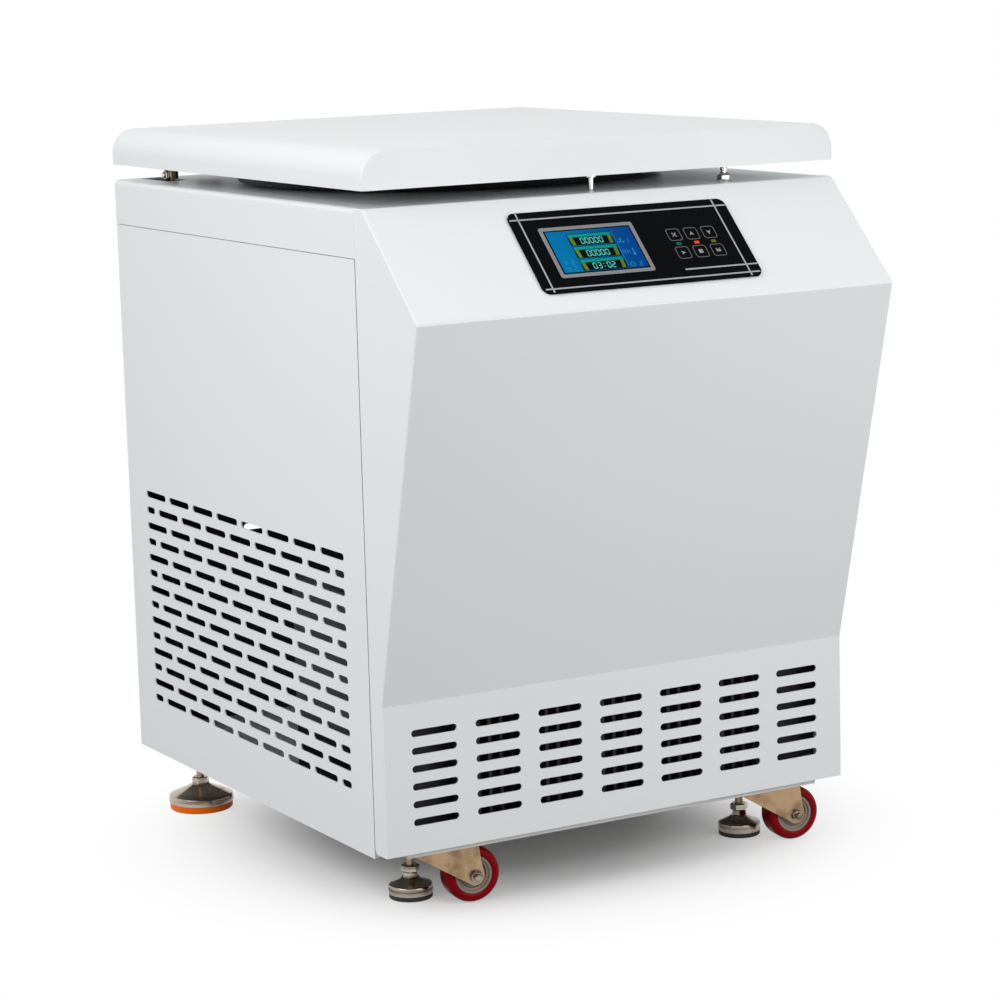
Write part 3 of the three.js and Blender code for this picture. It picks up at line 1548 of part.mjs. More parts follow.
export default centrifuge;
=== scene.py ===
"""Looks of a floor-standing refrigerated centrifuge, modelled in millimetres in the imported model's frame."""
import logging
import math
from dataclasses import dataclass, field
from enum import Enum
from typing import Iterable, Optional, Sequence, Union

import bmesh
import bpy
from bmesh.types import BMEdge, BMFace, BMVert
from mathutils import Matrix, Vector

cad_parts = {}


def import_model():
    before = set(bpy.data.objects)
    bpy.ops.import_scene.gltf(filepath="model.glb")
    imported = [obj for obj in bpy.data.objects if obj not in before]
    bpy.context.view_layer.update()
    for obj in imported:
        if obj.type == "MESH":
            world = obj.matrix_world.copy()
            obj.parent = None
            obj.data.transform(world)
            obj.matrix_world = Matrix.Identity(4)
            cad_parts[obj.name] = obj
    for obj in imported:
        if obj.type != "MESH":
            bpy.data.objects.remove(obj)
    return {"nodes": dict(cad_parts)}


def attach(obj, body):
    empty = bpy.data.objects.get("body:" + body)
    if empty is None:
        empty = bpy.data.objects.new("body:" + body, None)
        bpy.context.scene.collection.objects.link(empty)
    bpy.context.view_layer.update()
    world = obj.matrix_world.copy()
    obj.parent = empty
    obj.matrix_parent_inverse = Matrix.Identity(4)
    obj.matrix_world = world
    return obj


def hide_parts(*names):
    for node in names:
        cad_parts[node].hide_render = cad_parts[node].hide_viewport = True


MM = 0.001
SHARP_ANGLE = 38.0
BEVEL_ANGLE = 50.0
SIDES = ((-1, "left"), (1, "right"))
Point = tuple[float, float]
Bend = tuple[float, int]
Colour = tuple[float, float, float]
log = logging.getLogger("centrifuge")


class Signal:
    """A shader value: arithmetic on it adds Math nodes to its tree."""

    def __init__(self, paint: "Painter", socket: bpy.types.NodeSocket) -> None:
        """Keep the tree's painter and the output socket."""
        self.paint = paint
        self.socket = socket

    def _math(self, operation: str, first: "Value", second: "Value") -> "Signal":
        """Add one Math node."""
        return self.paint.node("ShaderNodeMath", {"operation": operation}, {0: first, 1: second})

    def __add__(self, other: "Value") -> "Signal":
        """Add."""
        return self._math("ADD", self, other)

    def __mul__(self, other: "Value") -> "Signal":
        """Multiply."""
        return self._math("MULTIPLY", self, other)

    __radd__ = __add__
    __rmul__ = __mul__

    def between(self, low: float, high: float) -> "Signal":
        """Rise smoothly from zero at low to one at high."""
        return self.paint.node("ShaderNodeMapRange", {"interpolation_type": "SMOOTHSTEP"},
                               {"Value": self, "From Min": low, "From Max": high})


Value = Union[Signal, float, tuple]


class Painter:
    """A node tree in the making."""

    def __init__(self, tree: bpy.types.NodeTree) -> None:
        """Keep the tree that the nodes go into."""
        self.tree = tree

    def node(self, kind: str, settings: Optional[dict] = None, inputs: Optional[dict] = None,
             output: Union[int, str] = 0) -> Signal:
        """Add a node.

        Args:
            kind: The node's type.
            settings: Its properties, set first.
            inputs: Values or signals by input socket.
            output: The output socket to return.

        Returns:
            The chosen output.
        """
        made = self.tree.nodes.new(kind)
        for name, value in (settings or {}).items():
            setattr(made, name, value)
        for key, value in (inputs or {}).items():
            self.join(made.inputs[key], value)
        return Signal(self, made.outputs[output])

    def join(self, socket: bpy.types.NodeSocket, value: Value) -> None:
        """Link a signal to a socket, or set the socket's own value.

        Args:
            socket: The input socket.
            value: The signal or the value.
        """
        if isinstance(value, Signal):
            self.tree.links.new(value.socket, socket)
        else:
            socket.default_value = (*value, 1.0) if socket.type == "RGBA" else value

    def blend(self, factor: Value, first: Value, second: Value) -> Signal:
        """Mix two colours."""
        return self.node("ShaderNodeMix", {"data_type": "RGBA"}, {0: factor, 6: first, 7: second}, 2)

    def seen(self) -> Signal:
        """Tell the camera, reflections and glass from the rays that light things.

        Returns:
            One where any of the three sees the surface.
        """
        total = self.node("ShaderNodeLightPath", output="Is Camera Ray")
        for name in ("Is Glossy Ray", "Is Transmission Ray"):
            total = total + self.node("ShaderNodeLightPath", output=name)
        return self.node("ShaderNodeMath", {"operation": "MINIMUM"}, {0: total, 1: 1.0})


class Surface(Painter):
    """One material in the making: a Principled surface and the nodes that feed it."""

    def __init__(self, name: str) -> None:
        """Start an empty material.

        Args:
            name: The material's name.
        """
        self.material = bpy.data.materials.new(name)
        self.material.use_nodes = True
        super().__init__(self.material.node_tree)
        self.surface = self.tree.nodes["Principled BSDF"]
        self.place = self.node("ShaderNodeTexCoord", output="Object")

    def feed(self, **sockets: Value) -> None:
        """Give the surface's sockets their values; Base_Color stands for Base Color."""
        for name, value in sockets.items():
            self.join(self.surface.inputs[name.replace("_", " ")], value)

    def noise(self, scale: float, stretch: tuple = (1.0, 1.0, 1.0), detail: float = 2.0) -> Signal:
        """Add a noise pattern with so many cells per metre."""
        place = self.node("ShaderNodeMapping", None, {"Vector": self.place, "Scale": stretch})
        return self.node("ShaderNodeTexNoise", None, {"Vector": place, "Scale": scale, "Detail": detail})

    def axis(self, name: str) -> Signal:
        """Return one object coordinate, in metres."""
        return self.node("ShaderNodeSeparateXYZ", None, {0: self.place}, name)

    def bump(self, height: Signal, strength: float, depth: float) -> None:
        """Raise the surface by a height pattern, in metres."""
        self.feed(Normal=self.node("ShaderNodeBump", None,
                                   {"Height": height, "Strength": strength, "Distance": depth}, "Normal"))


def shade(colour: Colour, factor: float) -> Colour:
    """Return a colour made darker or lighter."""
    return tuple(channel * factor for channel in colour)


@dataclass(frozen=True)
class Finish:
    """A finish with its plain values; each kind adds its own texture."""

    name: str
    colour: Colour
    roughness: float = 0.4
    metal: float = 0.0

    def material(self) -> bpy.types.Material:
        """Make the material the first time that it is asked for.

        Returns:
            The material.
        """
        made = bpy.data.materials.get(self.name)
        if made is None:
            paint = Surface(self.name)
            paint.feed(Base_Color=self.colour, Roughness=self.roughness, Metallic=self.metal)
            self.texture(paint)
            made = paint.material
        return made

    def texture(self, paint: Surface) -> None:
        """Add what varies over the surface."""
        raise NotImplementedError


@dataclass(frozen=True)
class PowderCoat(Finish):
    """Sprayed and baked paint: faint orange peel and a slow drift of tone."""

    peel: float = 0.05

    def texture(self, paint: Surface) -> None:
        """Add the orange peel and the drift.

        Args:
            paint: The surface in the making.
        """
        peel = paint.noise(620.0)
        drift = paint.noise(4.0)
        paint.feed(Base_Color=paint.blend(drift, shade(self.colour, 0.975), self.colour),
                   Roughness=peel * 0.08 + (self.roughness - 0.04))
        paint.bump(peel, self.peel, 0.0002)


@dataclass(frozen=True)
class BareMetal(Finish):
    """Plated, turned or brushed metal: fine lines one way and a cloudy tone, which is staining on most metals
    and a painted reflection on the feet's steel.
    """

    metal: float = 1.0
    grain: tuple = (1.0, 1.0, 30.0)
    grain_scale: float = 90.0
    grain_depth: float = 0.03
    stain_and_reflection: Colour = (0.5, 0.5, 0.5)
    stain_and_reflection_share: float = 0.35
    stain_and_reflection_run: tuple = (1.0, 1.0, 1.0)

    def texture(self, paint: Surface) -> None:
        """Add the grain, the cloudy tone and its rougher patches; the tone is staining, and on the feet's
        steel a painted reflection.

        Args:
            paint: The surface in the making.
        """
        lines = paint.noise(self.grain_scale, self.grain)
        # The cloud mixes in the second colour: stains on most metals, painted dark reflections on the feet's
        # steel.
        cloud = paint.noise(55.0, self.stain_and_reflection_run, 4.0).between(0.42, 0.72)
        paint.feed(Base_Color=paint.blend(cloud * self.stain_and_reflection_share, self.colour, self.stain_and_reflection),
                   Roughness=lines * 0.1 + cloud * 0.07 + (self.roughness - 0.06))
        paint.bump(lines, self.grain_depth, 0.0002)


@dataclass(frozen=True)
class CastMetal(Finish):
    """Cast or bead-blasted metal: an even fine pitting."""

    pit: float = 0.12

    def texture(self, paint: Surface) -> None:
        """Add the pits and cloudy oxide.

        Args:
            paint: The surface in the making.
        """
        pits = paint.noise(900.0, detail=3.0)
        cloud = paint.noise(28.0, detail=3.0)
        paint.feed(Base_Color=paint.blend(cloud, shade(self.colour, 0.82), shade(self.colour, 1.08)),
                   Roughness=pits * 0.16 + (self.roughness - 0.08))
        paint.bump(pits, self.pit, 0.0003)


@dataclass(frozen=True)
class Moulded(Finish):
    """Moulded plastic or rubber: a fine matt grain and handling marks."""

    grain_scale: float = 1500.0
    grain_depth: float = 0.12
    shine: float = 0.5

    def texture(self, paint: Surface) -> None:
        """Add the grain and the marks.

        Args:
            paint: The surface in the making.
        """
        grain = paint.noise(self.grain_scale, detail=3.0)
        marks = paint.noise(40.0, detail=5.0).between(0.5, 0.8)
        paint.feed(Base_Color=paint.blend(marks * 0.5, self.colour, shade(self.colour, 1.35)),
                   Roughness=grain * 0.12 + marks * 0.08 + (self.roughness - 0.08),
                   Specular_IOR_Level=self.shine)
        paint.bump(grain, self.grain_depth, 0.00015)


@dataclass(frozen=True)
class Foam(Finish):
    """Blown insulation foam with open cells."""

    def texture(self, paint: Surface) -> None:
        """Add the cells.

        Args:
            paint: The surface in the making.
        """
        cells = paint.node("ShaderNodeTexVoronoi", None, {"Vector": paint.place, "Scale": 260.0})
        paint.feed(Base_Color=paint.blend(cells, shade(self.colour, 0.72), self.colour))
        paint.bump(cells, 0.5, 0.001)


@dataclass(frozen=True)
class Lit(Finish):
    """A lit surface: a glow from a dark cell pattern, from one colour to another along X."""

    roughness: float = 0.12
    far_colour: Optional[Colour] = None
    near_x: float = 0.0
    far_x: float = 1.0
    strength: float = 1.0
    cell: float = 1700.0

    def texture(self, paint: Surface) -> None:
        """Add the colour's run and the faint cells.

        Args:
            paint: The surface in the making.
        """
        run = paint.axis("X").between(self.near_x * MM, self.far_x * MM)
        far = self.far_colour or self.colour
        cells = paint.node("ShaderNodeTexVoronoi", {"distance": "CHEBYCHEV"},
                           {"Vector": paint.place, "Scale": self.cell, "Randomness": 0.0})
        glow = paint.blend(run, self.colour, far)
        dim = paint.blend(run, shade(self.colour, 0.8), shade(far, 0.8))
        paint.feed(Base_Color=(0.003, 0.004, 0.005), Specular_IOR_Level=0.0, Emission_Strength=self.strength,
                   Emission_Color=paint.blend(cells.between(0.25, 0.5), glow, dim))


PRINTED = {"grain_scale": 2400.0, "grain_depth": 0.04}
WHOLE_RUN = {"near_x": -105.0, "far_x": 3.0}
READOUT_RUN = {"near_x": -80.0, "far_x": -24.0}
WHITE = PowderCoat("white_powder_coat", (0.80, 0.825, 0.835), 0.3)
GREY = PowderCoat("light_grey_paint", (0.78, 0.775, 0.76), 0.4)
# Near-black finish for the sheets' inner faces, the chassis and the air guides: painted shade for the dark
# interior seen through the slots, not the parts' own paint.
PAINTED_SHADE_DARK = PowderCoat("dark_primer", (0.012, 0.0125, 0.013), 0.6)
BLACK_ENAMEL = PowderCoat("black_enamel", (0.018, 0.019, 0.021), 0.3, peel=0.12)
MOTOR_ENAMEL = PowderCoat("motor_enamel", (0.13, 0.15, 0.17), 0.38, peel=0.12)
STEEL = BareMetal("brushed_stainless", (0.60, 0.61, 0.62), 0.28, grain=(1.0, 1.0, 40.0), grain_scale=60.0,
                  grain_depth=0.05, stain_and_reflection=(0.50, 0.51, 0.52), stain_and_reflection_share=0.25)
CHROME = BareMetal("bright_chrome", (0.72, 0.71, 0.70), 0.1, grain=(1.0, 1.0, 25.0), grain_scale=120.0,
                   grain_depth=0.02, stain_and_reflection=(0.44, 0.36, 0.28))
# Plated steel made darker and browner, with a dark cloud stretched into bands along Z: a painted reflection of
# dark surroundings.
FOOT_STEEL_PAINTED_REFLECTIONS = BareMetal("plated_foot_steel", (0.45, 0.39, 0.33), 0.16, grain=(1.0, 1.0, 25.0),
                       grain_scale=120.0, stain_and_reflection=(0.11, 0.08, 0.055), stain_and_reflection_share=0.9,
                       stain_and_reflection_run=(0.25, 0.25, 2.5))
ZINC = BareMetal("yellow_zinc_plate", (0.41, 0.28, 0.165), 0.34, grain=(1.0, 12.0, 1.0), grain_scale=80.0,
                 grain_depth=0.05, stain_and_reflection=(0.20, 0.125, 0.07), stain_and_reflection_share=0.8)
ZINC_BRIGHT = BareMetal("zinc_plate", (0.58, 0.50, 0.45), 0.3, grain=(1.0, 1.0, 12.0), grain_scale=80.0,
                        grain_depth=0.05, stain_and_reflection=(0.40, 0.30, 0.26), stain_and_reflection_share=0.6)
COPPER = BareMetal("copper_tube", (0.62, 0.27, 0.14), 0.3, grain=(12.0, 12.0, 1.0), grain_scale=60.0,
                   stain_and_reflection=(0.22, 0.09, 0.05), stain_and_reflection_share=0.7)
ALUMINIUM = CastMetal("cast_aluminium", (0.56, 0.57, 0.58), 0.42, metal=0.9)
ANODISED = CastMetal("anodised_aluminium", (0.42, 0.43, 0.45), 0.36, metal=0.85, pit=0.05)
FINS = CastMetal("fin_aluminium", (0.05, 0.051, 0.053), 0.5, metal=0.8, pit=0.2)
BLACK_PLASTIC = Moulded("black_plastic", (0.014, 0.0145, 0.016), 0.42)
LINER = Moulded("black_liner", (0.012, 0.013, 0.014), 0.3, grain_scale=900.0, grain_depth=0.1)
RUBBER = Moulded("black_rubber", (0.004, 0.0037, 0.0034), 0.7, grain_scale=700.0, grain_depth=0.3, shine=0.0)
ORANGE_RUBBER = Moulded("orange_rubber", (0.98, 0.17, 0.0), 0.5, grain_scale=700.0, grain_depth=0.15,
                        shine=0.2)
TYRE = Moulded("red_polyurethane", (0.24, 0.001, 0.004), 0.34, grain_scale=500.0, grain_depth=0.05,
               shine=0.08)
HUB = Moulded("grey_hub_plastic", (0.26, 0.215, 0.17), 0.5, grain_scale=800.0, grain_depth=0.15)
SWITCH = Moulded("switch_plastic", (0.016, 0.016, 0.018), 0.25, grain_scale=1800.0, grain_depth=0.05)
BEZEL = Moulded("silver_frame", (0.21, 0.212, 0.22), 0.4, metal=0.25, grain_scale=2000.0, grain_depth=0.06,
                shine=0.3)
PANEL_BLACK = Moulded("black_overlay_film", (0.0016, 0.0021, 0.0024), 0.3, **PRINTED, shine=0.02)
PANEL_LINE = Moulded("silver_print", (0.36, 0.375, 0.385), 0.4, **PRINTED)
ICON = Moulded("pale_icon_print", (0.25, 0.262, 0.267), 0.45, **PRINTED)
KEY_LINE = Moulded("grey_key_print", (0.10, 0.103, 0.106), 0.45, **PRINTED, shine=0.1)
FOAM = Foam("insulation_foam", (0.022, 0.021, 0.020), 0.9)
SCREEN = Lit("lit_blue_screen", (0.0, 0.20, 0.46), far_colour=(0.0, 0.064, 0.30), **WHOLE_RUN, strength=0.95)
PALE_BLUE = Lit("lit_pale_blue", (0.02, 0.33, 0.60), far_colour=(0.03, 0.30, 0.58), **WHOLE_RUN,
                strength=0.9)
TEAL = Lit("lit_teal", (0.003, 0.36, 0.33), far_colour=(0.003, 0.31, 0.28), **READOUT_RUN, strength=0.9)
LIME = Lit("lit_lime", (0.16, 0.26, 0.02), far_colour=(0.13, 0.22, 0.03), **READOUT_RUN, strength=0.9)
DIGIT = Lit("lit_digit", (0.16, 0.78, 0.70), strength=0.9)
FIELD = Lit("dark_readout_field", (0.0015, 0.004, 0.004))
LAMP_GREEN = Lit("green_lamp", (0.01, 0.16, 0.11), 0.2)
LAMP_RED = Lit("red_lamp", (1.0, 0.07, 0.02), 0.2)
LAMP_OLIVE = Lit("olive_lamp", (0.16, 0.15, 0.02), 0.2)


class Axis(Enum):
    """A direction that a piece is extruded or turned along."""

    X = (1.0, 0.0, 0.0)
    Y = (0.0, 1.0, 0.0)
    Z = (0.0, 0.0, 1.0)

    def point(self, u: float, v: float, along: float) -> Vector:
        """Return a point from two flat coordinates and one along the axis."""
        places = {"X": (along, u, v), "Y": (u, along, v), "Z": (u, v, along)}
        return Vector(places[self.name])

    def ring(self, outline: Sequence[Point], along: float) -> list[Vector]:
        """Set a flat outline at one place along the axis."""
        return [self.point(u, v, along) for u, v in outline]


def arc(centre: Point, radius: float, start: float, end: float, steps: int = 6) -> list[Point]:
    """List the points of an arc.

    Args:
        centre: Its centre.
        radius: Its radius.
        start: The first angle in degrees.
        end: The last angle in degrees.
        steps: The number of chords.

    Returns:
        The points, both ends included.
    """
    turns = [math.radians(start + (end - start) * i / steps) for i in range(steps + 1)]
    return [(centre[0] + radius * math.cos(t), centre[1] + radius * math.sin(t)) for t in turns]


def round_rectangle(width: float, height: float, radius: float, centre: Point = (0.0, 0.0),
                    steps: int = 5) -> list[Point]:
    """List the points of a rectangle with round corners.

    Args:
        width: Its width.
        height: Its height.
        radius: Its corners' radius.
        centre: Its centre.
        steps: The chords in each corner.

    Returns:
        The points, anticlockwise.
    """
    u, v = width / 2 - radius, height / 2 - radius
    corners = ((u, v, 0), (-u, v, 90), (-u, -v, 180), (u, -v, 270))
    points = []
    for x, y, turn in corners:
        points += arc((centre[0] + x, centre[1] + y), radius, turn, turn + 90, steps)
    return [p for i, p in enumerate(points) if math.dist(p, points[i - 1]) > 1e-6]


def circle(radius: float, centre: Point = (0.0, 0.0), steps: int = 48) -> list[Point]:
    """List the points of a circle."""
    return arc(centre, radius, 0, 360, steps)[:-1]


def air_slot(length: float, height: float, centre: Point) -> list[Point]:
    """List the points of a slot with round ends."""
    return round_rectangle(length, height, height / 2 - 0.01, centre, 4)


def mirrored(points: Sequence[Point]) -> list[Point]:
    """List points in reverse with their second coordinate turned round."""
    return [(u, -v) for u, v in reversed(points)]


def span(side: int, near: float, far: float) -> tuple[float, float]:
    """Return two distances from the middle as places on one side, the lower first."""
    return tuple(sorted((side * near, side * far)))


def frame_at(place: Sequence[float], turn: float, about: str) -> Matrix:
    """Return a frame at a place, turned by so many degrees about one of its axes."""
    return Matrix.Translation(place) @ Matrix.Rotation(math.radians(turn), 4, about)


def put(name: str, data: bpy.types.ID) -> bpy.types.Object:
    """Add an object to the scene.

    Args:
        name: Its name.
        data: Its mesh, lamp or camera.

    Returns:
        The object.
    """
    made = bpy.data.objects.new(name, data)
    bpy.context.scene.collection.objects.link(made)
    return made


class Form:
    """One piece in the making, in millimetres."""

    def __init__(self) -> None:
        """Start with nothing; new faces take the finish number in self.finish."""
        self.bm = bmesh.new()
        self.finish = 0

    def mark(self, known: set) -> list[BMFace]:
        """Give the finish number to the faces that aren't known yet.

        Args:
            known: The faces that came before.

        Returns:
            The fresh faces.
        """
        fresh = [face for face in self.bm.faces if face not in known]
        for face in fresh:
            face.material_index = self.finish
        return fresh

    def weld(self, known: set, reach: float) -> list[BMFace]:
        """Merge the fresh faces' corners that lie together.

        Args:
            known: The faces that came before.
            reach: How near together.

        Returns:
            The fresh faces.
        """
        corners = list({vert for face in self.mark(known) for vert in face.verts})
        bmesh.ops.remove_doubles(self.bm, verts=corners, dist=reach)
        return self.mark(known)

    def line(self, points: Iterable[Vector], closed: bool = True) -> list[BMEdge]:
        """Lay vertices and edges through points.

        Args:
            points: The points in order.
            closed: Whether the last joins the first.

        Returns:
            The edges.
        """
        verts = [self.bm.verts.new(point) for point in points]
        ends = verts[1:] + verts[:1] if closed else verts[1:]
        return [self.bm.edges.new(pair) for pair in zip(verts, ends)]

    def face(self, points: Iterable[Vector], normal: Vector) -> BMFace:
        """Make one flat face through points.

        Args:
            points: Its corners in order.
            normal: The way that it looks.

        Returns:
            The face.
        """
        made = self.bm.faces.new([self.bm.verts.new(point) for point in points])
        made.material_index = self.finish
        made.normal_update()
        if made.normal.dot(normal) < 0:
            made.normal_flip()
        return made

    def fill(self, edges: Sequence[BMEdge], holes: Sequence[Sequence[Vector]],
             normal: Vector) -> list[BMFace]:
        """Fill the flat area inside edges, leaving its holes open.

        Args:
            edges: The outer edges.
            holes: The lines of the holes.
            normal: The way the faces look.

        Returns:
            The faces.
        """
        known = set(self.bm.faces)
        bounds = [*edges, *(edge for hole in holes for edge in self.line(hole))]
        bmesh.ops.triangle_fill(self.bm, edges=bounds, use_beauty=True, normal=normal)
        faces = self.mark(known)
        for face in faces:
            if face.normal.dot(normal) < 0:
                face.normal_flip()
        return faces

    def grow(self, faces: Sequence[BMFace], axis: Axis, length: float, known: set) -> list[BMFace]:
        """Extrude flat faces into a solid.

        Args:
            faces: The faces, which stay as its foot.
            axis: The axis that they are extruded along.
            length: How far.
            known: The faces of other solids.

        Returns:
            The solid's faces.
        """
        grown = bmesh.ops.extrude_face_region(self.bm, geom=faces, use_keep_orig=True)["geom"]
        verts = [part for part in grown if isinstance(part, BMVert)]
        bmesh.ops.translate(self.bm, verts=verts, vec=Vector(axis.value) * length)
        fresh = self.mark(known)
        bmesh.ops.recalc_face_normals(self.bm, faces=fresh)
        return fresh

    def plate(self, outline: Sequence[Point], holes: Sequence[Sequence[Point]], axis: Axis, low: float,
              high: float) -> list[BMFace]:
        """Make a flat plate with holes, from one place to another along an axis.

        Args:
            outline: The plate's outline.
            holes: Its holes.
            axis: The axis that it lies square to.
            low: The lower face's place.
            high: The upper face's place.

        Returns:
            The faces.
        """
        known = set(self.bm.faces)
        rings = [axis.ring(hole, low) for hole in holes]
        faces = self.fill(self.line(axis.ring(outline, low)), rings, -Vector(axis.value))
        return self.grow(faces, axis, high - low, known)

    def prism(self, outline: Sequence[Point], axis: Axis, low: float, high: float) -> list[BMFace]:
        """Extrude one many-sided face into a solid.

        Args:
            outline: The face's outline.
            axis: The axis that it is extruded along.
            low: Where it starts.
            high: Where it ends.

        Returns:
            The faces.
        """
        known = set(self.bm.faces)
        start = self.face(axis.ring(outline, low), -Vector(axis.value))
        return self.grow([start], axis, high - low, known)

    def cover(self, half: float, along: Point, upright: Point, corner: Bend, fold: Bend) -> None:
        """Make a hood that is open below, with round upper side edges and rounded ends.

        Args:
            half: Half its width.
            along: Where it starts and ends along Y.
            upright: The heights of its rim and its top.
            corner: The bend of its upper side edges.
            fold: The bend of its ends' edges.
        """
        (front, rear), (low, high), (radius, steps) = along, upright, corner
        u, v = half - radius, high - radius
        section = [(-half, low), (half, low), *arc((u, v), radius, 0, 90, steps),
                   *arc((-u, v), radius, 90, 180, steps)]
        faces = self.prism(section, Axis.Y, front, rear)
        self.bm.normal_update()
        caps = [face for face in faces if abs(face.normal.y) > 0.9]
        rims = {edge for cap in caps for edge in cap.edges
                if not all(face.normal.z < -0.9 or abs(face.normal.y) > 0.9 for face in edge.link_faces)}
        self.round(rims, *fold)
        bmesh.ops.delete(self.bm, geom=[self.facing((0, 0, -1))], context="FACES_ONLY")

    def block(self, low: Sequence[float], high: Sequence[float], edge: float = 0.0) -> None:
        """Make a box between two corners.

        Args:
            low: The lowest corner.
            high: The highest corner.
            edge: The edges' radius.
        """
        known = set(self.bm.faces)
        middle = (Vector(low) + Vector(high)) / 2
        size = Vector(high) - Vector(low)
        matrix = Matrix.Translation(middle) @ Matrix.Diagonal((*size, 1.0))
        verts = bmesh.ops.create_cube(self.bm, size=1.0, matrix=matrix)["verts"]
        if edge:
            self.round({e for vert in verts for e in vert.link_edges}, edge)
        self.mark(known)

    def lathe(self, profile: Sequence[Point], centre: Sequence[float] = (0.0, 0.0, 0.0), axis: Axis = Axis.Z,
              steps: int = 48) -> None:
        """Turn a profile of radius and height into a round piece.

        Args:
            profile: Points of radius and height along the axis; it closes on itself or ends on the axis.
            centre: The place of radius zero and height zero.
            axis: The axis that it turns about.
            steps: The number of facets.
        """
        known = set(self.bm.faces)
        origin = Vector(centre)
        edges = self.line([origin + axis.point(r, 0.0, z) for r, z in profile], closed=False)
        verts = list({vert for edge in edges for vert in edge.verts})
        bmesh.ops.spin(self.bm, geom=[*verts, *edges], cent=origin, axis=axis.value, dvec=(0.0, 0.0, 0.0),
                       angle=2 * math.pi, steps=steps, use_merge=True)
        bmesh.ops.recalc_face_normals(self.bm, faces=self.weld(known, 0.001))

    def rod(self, radius: float, start: Sequence[float], end: Sequence[float], sides: int = 24,
            edge: float = 0.0, turn: float = 0.0) -> None:
        """Make a straight bar between two points, round or many-sided.

        Args:
            radius: Its radius, out to the corners.
            start: One end.
            end: The other end.
            sides: The number of sides.
            edge: The chamfer at both ends.
            turn: Degrees to turn the corners by.
        """
        known = set(self.bm.faces)
        along = Vector(end) - Vector(start)
        middle = (Vector(start) + Vector(end)) / 2
        upright = along.to_track_quat("Z", "Y").to_matrix().to_4x4()
        matrix = Matrix.Translation(middle) @ (upright @ Matrix.Rotation(math.radians(turn), 4, "Z"))
        made = bmesh.ops.create_cone(self.bm, cap_ends=True, segments=sides, radius1=radius, radius2=radius,
                                     depth=along.length, matrix=matrix)["verts"]
        if edge:
            way = along.normalized()
            rims = {e for vert in made for e in vert.link_edges
                    if abs((e.verts[0].co - e.verts[1].co).dot(way)) < 1e-4}
            self.round(rims, edge, 1)
        self.mark(known)

    def thread(self, radius: float, pitch: float, centre: Sequence[float], turns: int) -> None:
        """Wind a screw thread upwards round a core.

        Args:
            radius: The thread's outer radius.
            pitch: The rise of one turn.
            centre: The axis at the lower end.
            turns: The number of turns.
        """
        known = set(self.bm.faces)
        origin = Vector(centre)
        root = radius - 0.6 * pitch
        profile = ((root, 0.0), (radius, 0.35 * pitch), (radius, 0.5 * pitch), (root, pitch))
        edges = self.line([origin + Vector((r, 0.0, z)) for r, z in profile], closed=False)
        verts = list({vert for edge in edges for vert in edge.verts})
        sides = 14
        bmesh.ops.spin(self.bm, geom=[*verts, *edges], cent=origin, axis=(0.0, 0.0, 1.0),
                       dvec=(0.0, 0.0, pitch / sides), angle=2 * math.pi * turns, steps=sides * turns)
        self.weld(known, 0.005)
        core = radius - 0.58 * pitch
        self.rod(core, origin, origin + Vector((0.0, 0.0, pitch * (turns + 1))), sides)

    def round(self, edges: Iterable[BMEdge], width: float, segments: int = 3) -> None:
        """Bevel edges into round ones."""
        bmesh.ops.bevel(self.bm, geom=list(edges), offset=width, offset_type="OFFSET", affect="EDGES",
                        segments=segments, profile=0.5, material=-1, clamp_overlap=True)

    def creases(self, faces: Iterable[BMFace], angle: float = 40.0) -> set[BMEdge]:
        """Return the edges of faces that fold by more than an angle in degrees."""
        edges = {edge for face in faces for edge in face.edges if len(edge.link_faces) == 2}
        return {edge for edge in edges if edge.calc_face_angle() > math.radians(angle)}

    def punch(self, face: BMFace, rows: Sequence[Sequence[Sequence[Vector]]]) -> None:
        """Cut rows of holes into one flat face, which is first split into a strip for each row.

        Args:
            face: The face.
            rows: The holes' lines in its plane, row by row upwards.
        """
        up = Vector((0.0, 0.0, 1.0))
        strips = [face]
        for low, high in zip(rows, rows[1:]):
            level = (max(point.z for hole in low for point in hole)
                     + min(point.z for hole in high for point in hole)) / 2
            known = set(self.bm.faces)
            parts = {*strips, *(e for f in strips for e in f.edges), *(v for f in strips for v in f.verts)}
            bmesh.ops.bisect_plane(self.bm, geom=list(parts), dist=0.0001, plane_co=up * level, plane_no=up)
            strips += [made for made in self.bm.faces if made not in known]
        strips.sort(key=lambda strip: strip.calc_center_median().z)
        for strip, holes in zip(strips, rows):
            normal = strip.normal.copy()
            edges = list(strip.edges)
            bmesh.ops.delete(self.bm, geom=[strip], context="FACES_ONLY")
            self.fill(edges, holes, normal)

    def facing(self, way: Sequence[float]) -> BMFace:
        """Find the largest face that looks one way.

        Args:
            way: The way.

        Returns:
            The face.
        """
        self.bm.normal_update()
        looking = [face for face in self.bm.faces if face.normal.dot(Vector(way)) > 0.999]
        return max(looking, key=lambda face: face.calc_area())

    def thicken(self, wall: float, inner: int = 0) -> None:
        """Give every open sheet a wall.

        Args:
            wall: Its thickness.
            inner: The finish number of its inner faces.
        """
        grown = bmesh.ops.solidify(self.bm, geom=list(self.bm.faces), thickness=wall)["geom"]
        for part in grown:
            if isinstance(part, BMFace):
                part.material_index = inner

    def place(self, name: str) -> bpy.types.Object:
        """Turn the form into a scene object, in metres.

        Args:
            name: The object's name.

        Returns:
            The object.
        """
        bmesh.ops.scale(self.bm, vec=(MM, MM, MM), verts=self.bm.verts)
        mesh = bpy.data.meshes.new(name)
        self.bm.to_mesh(mesh)
        self.bm.free()
        return put(name, mesh)

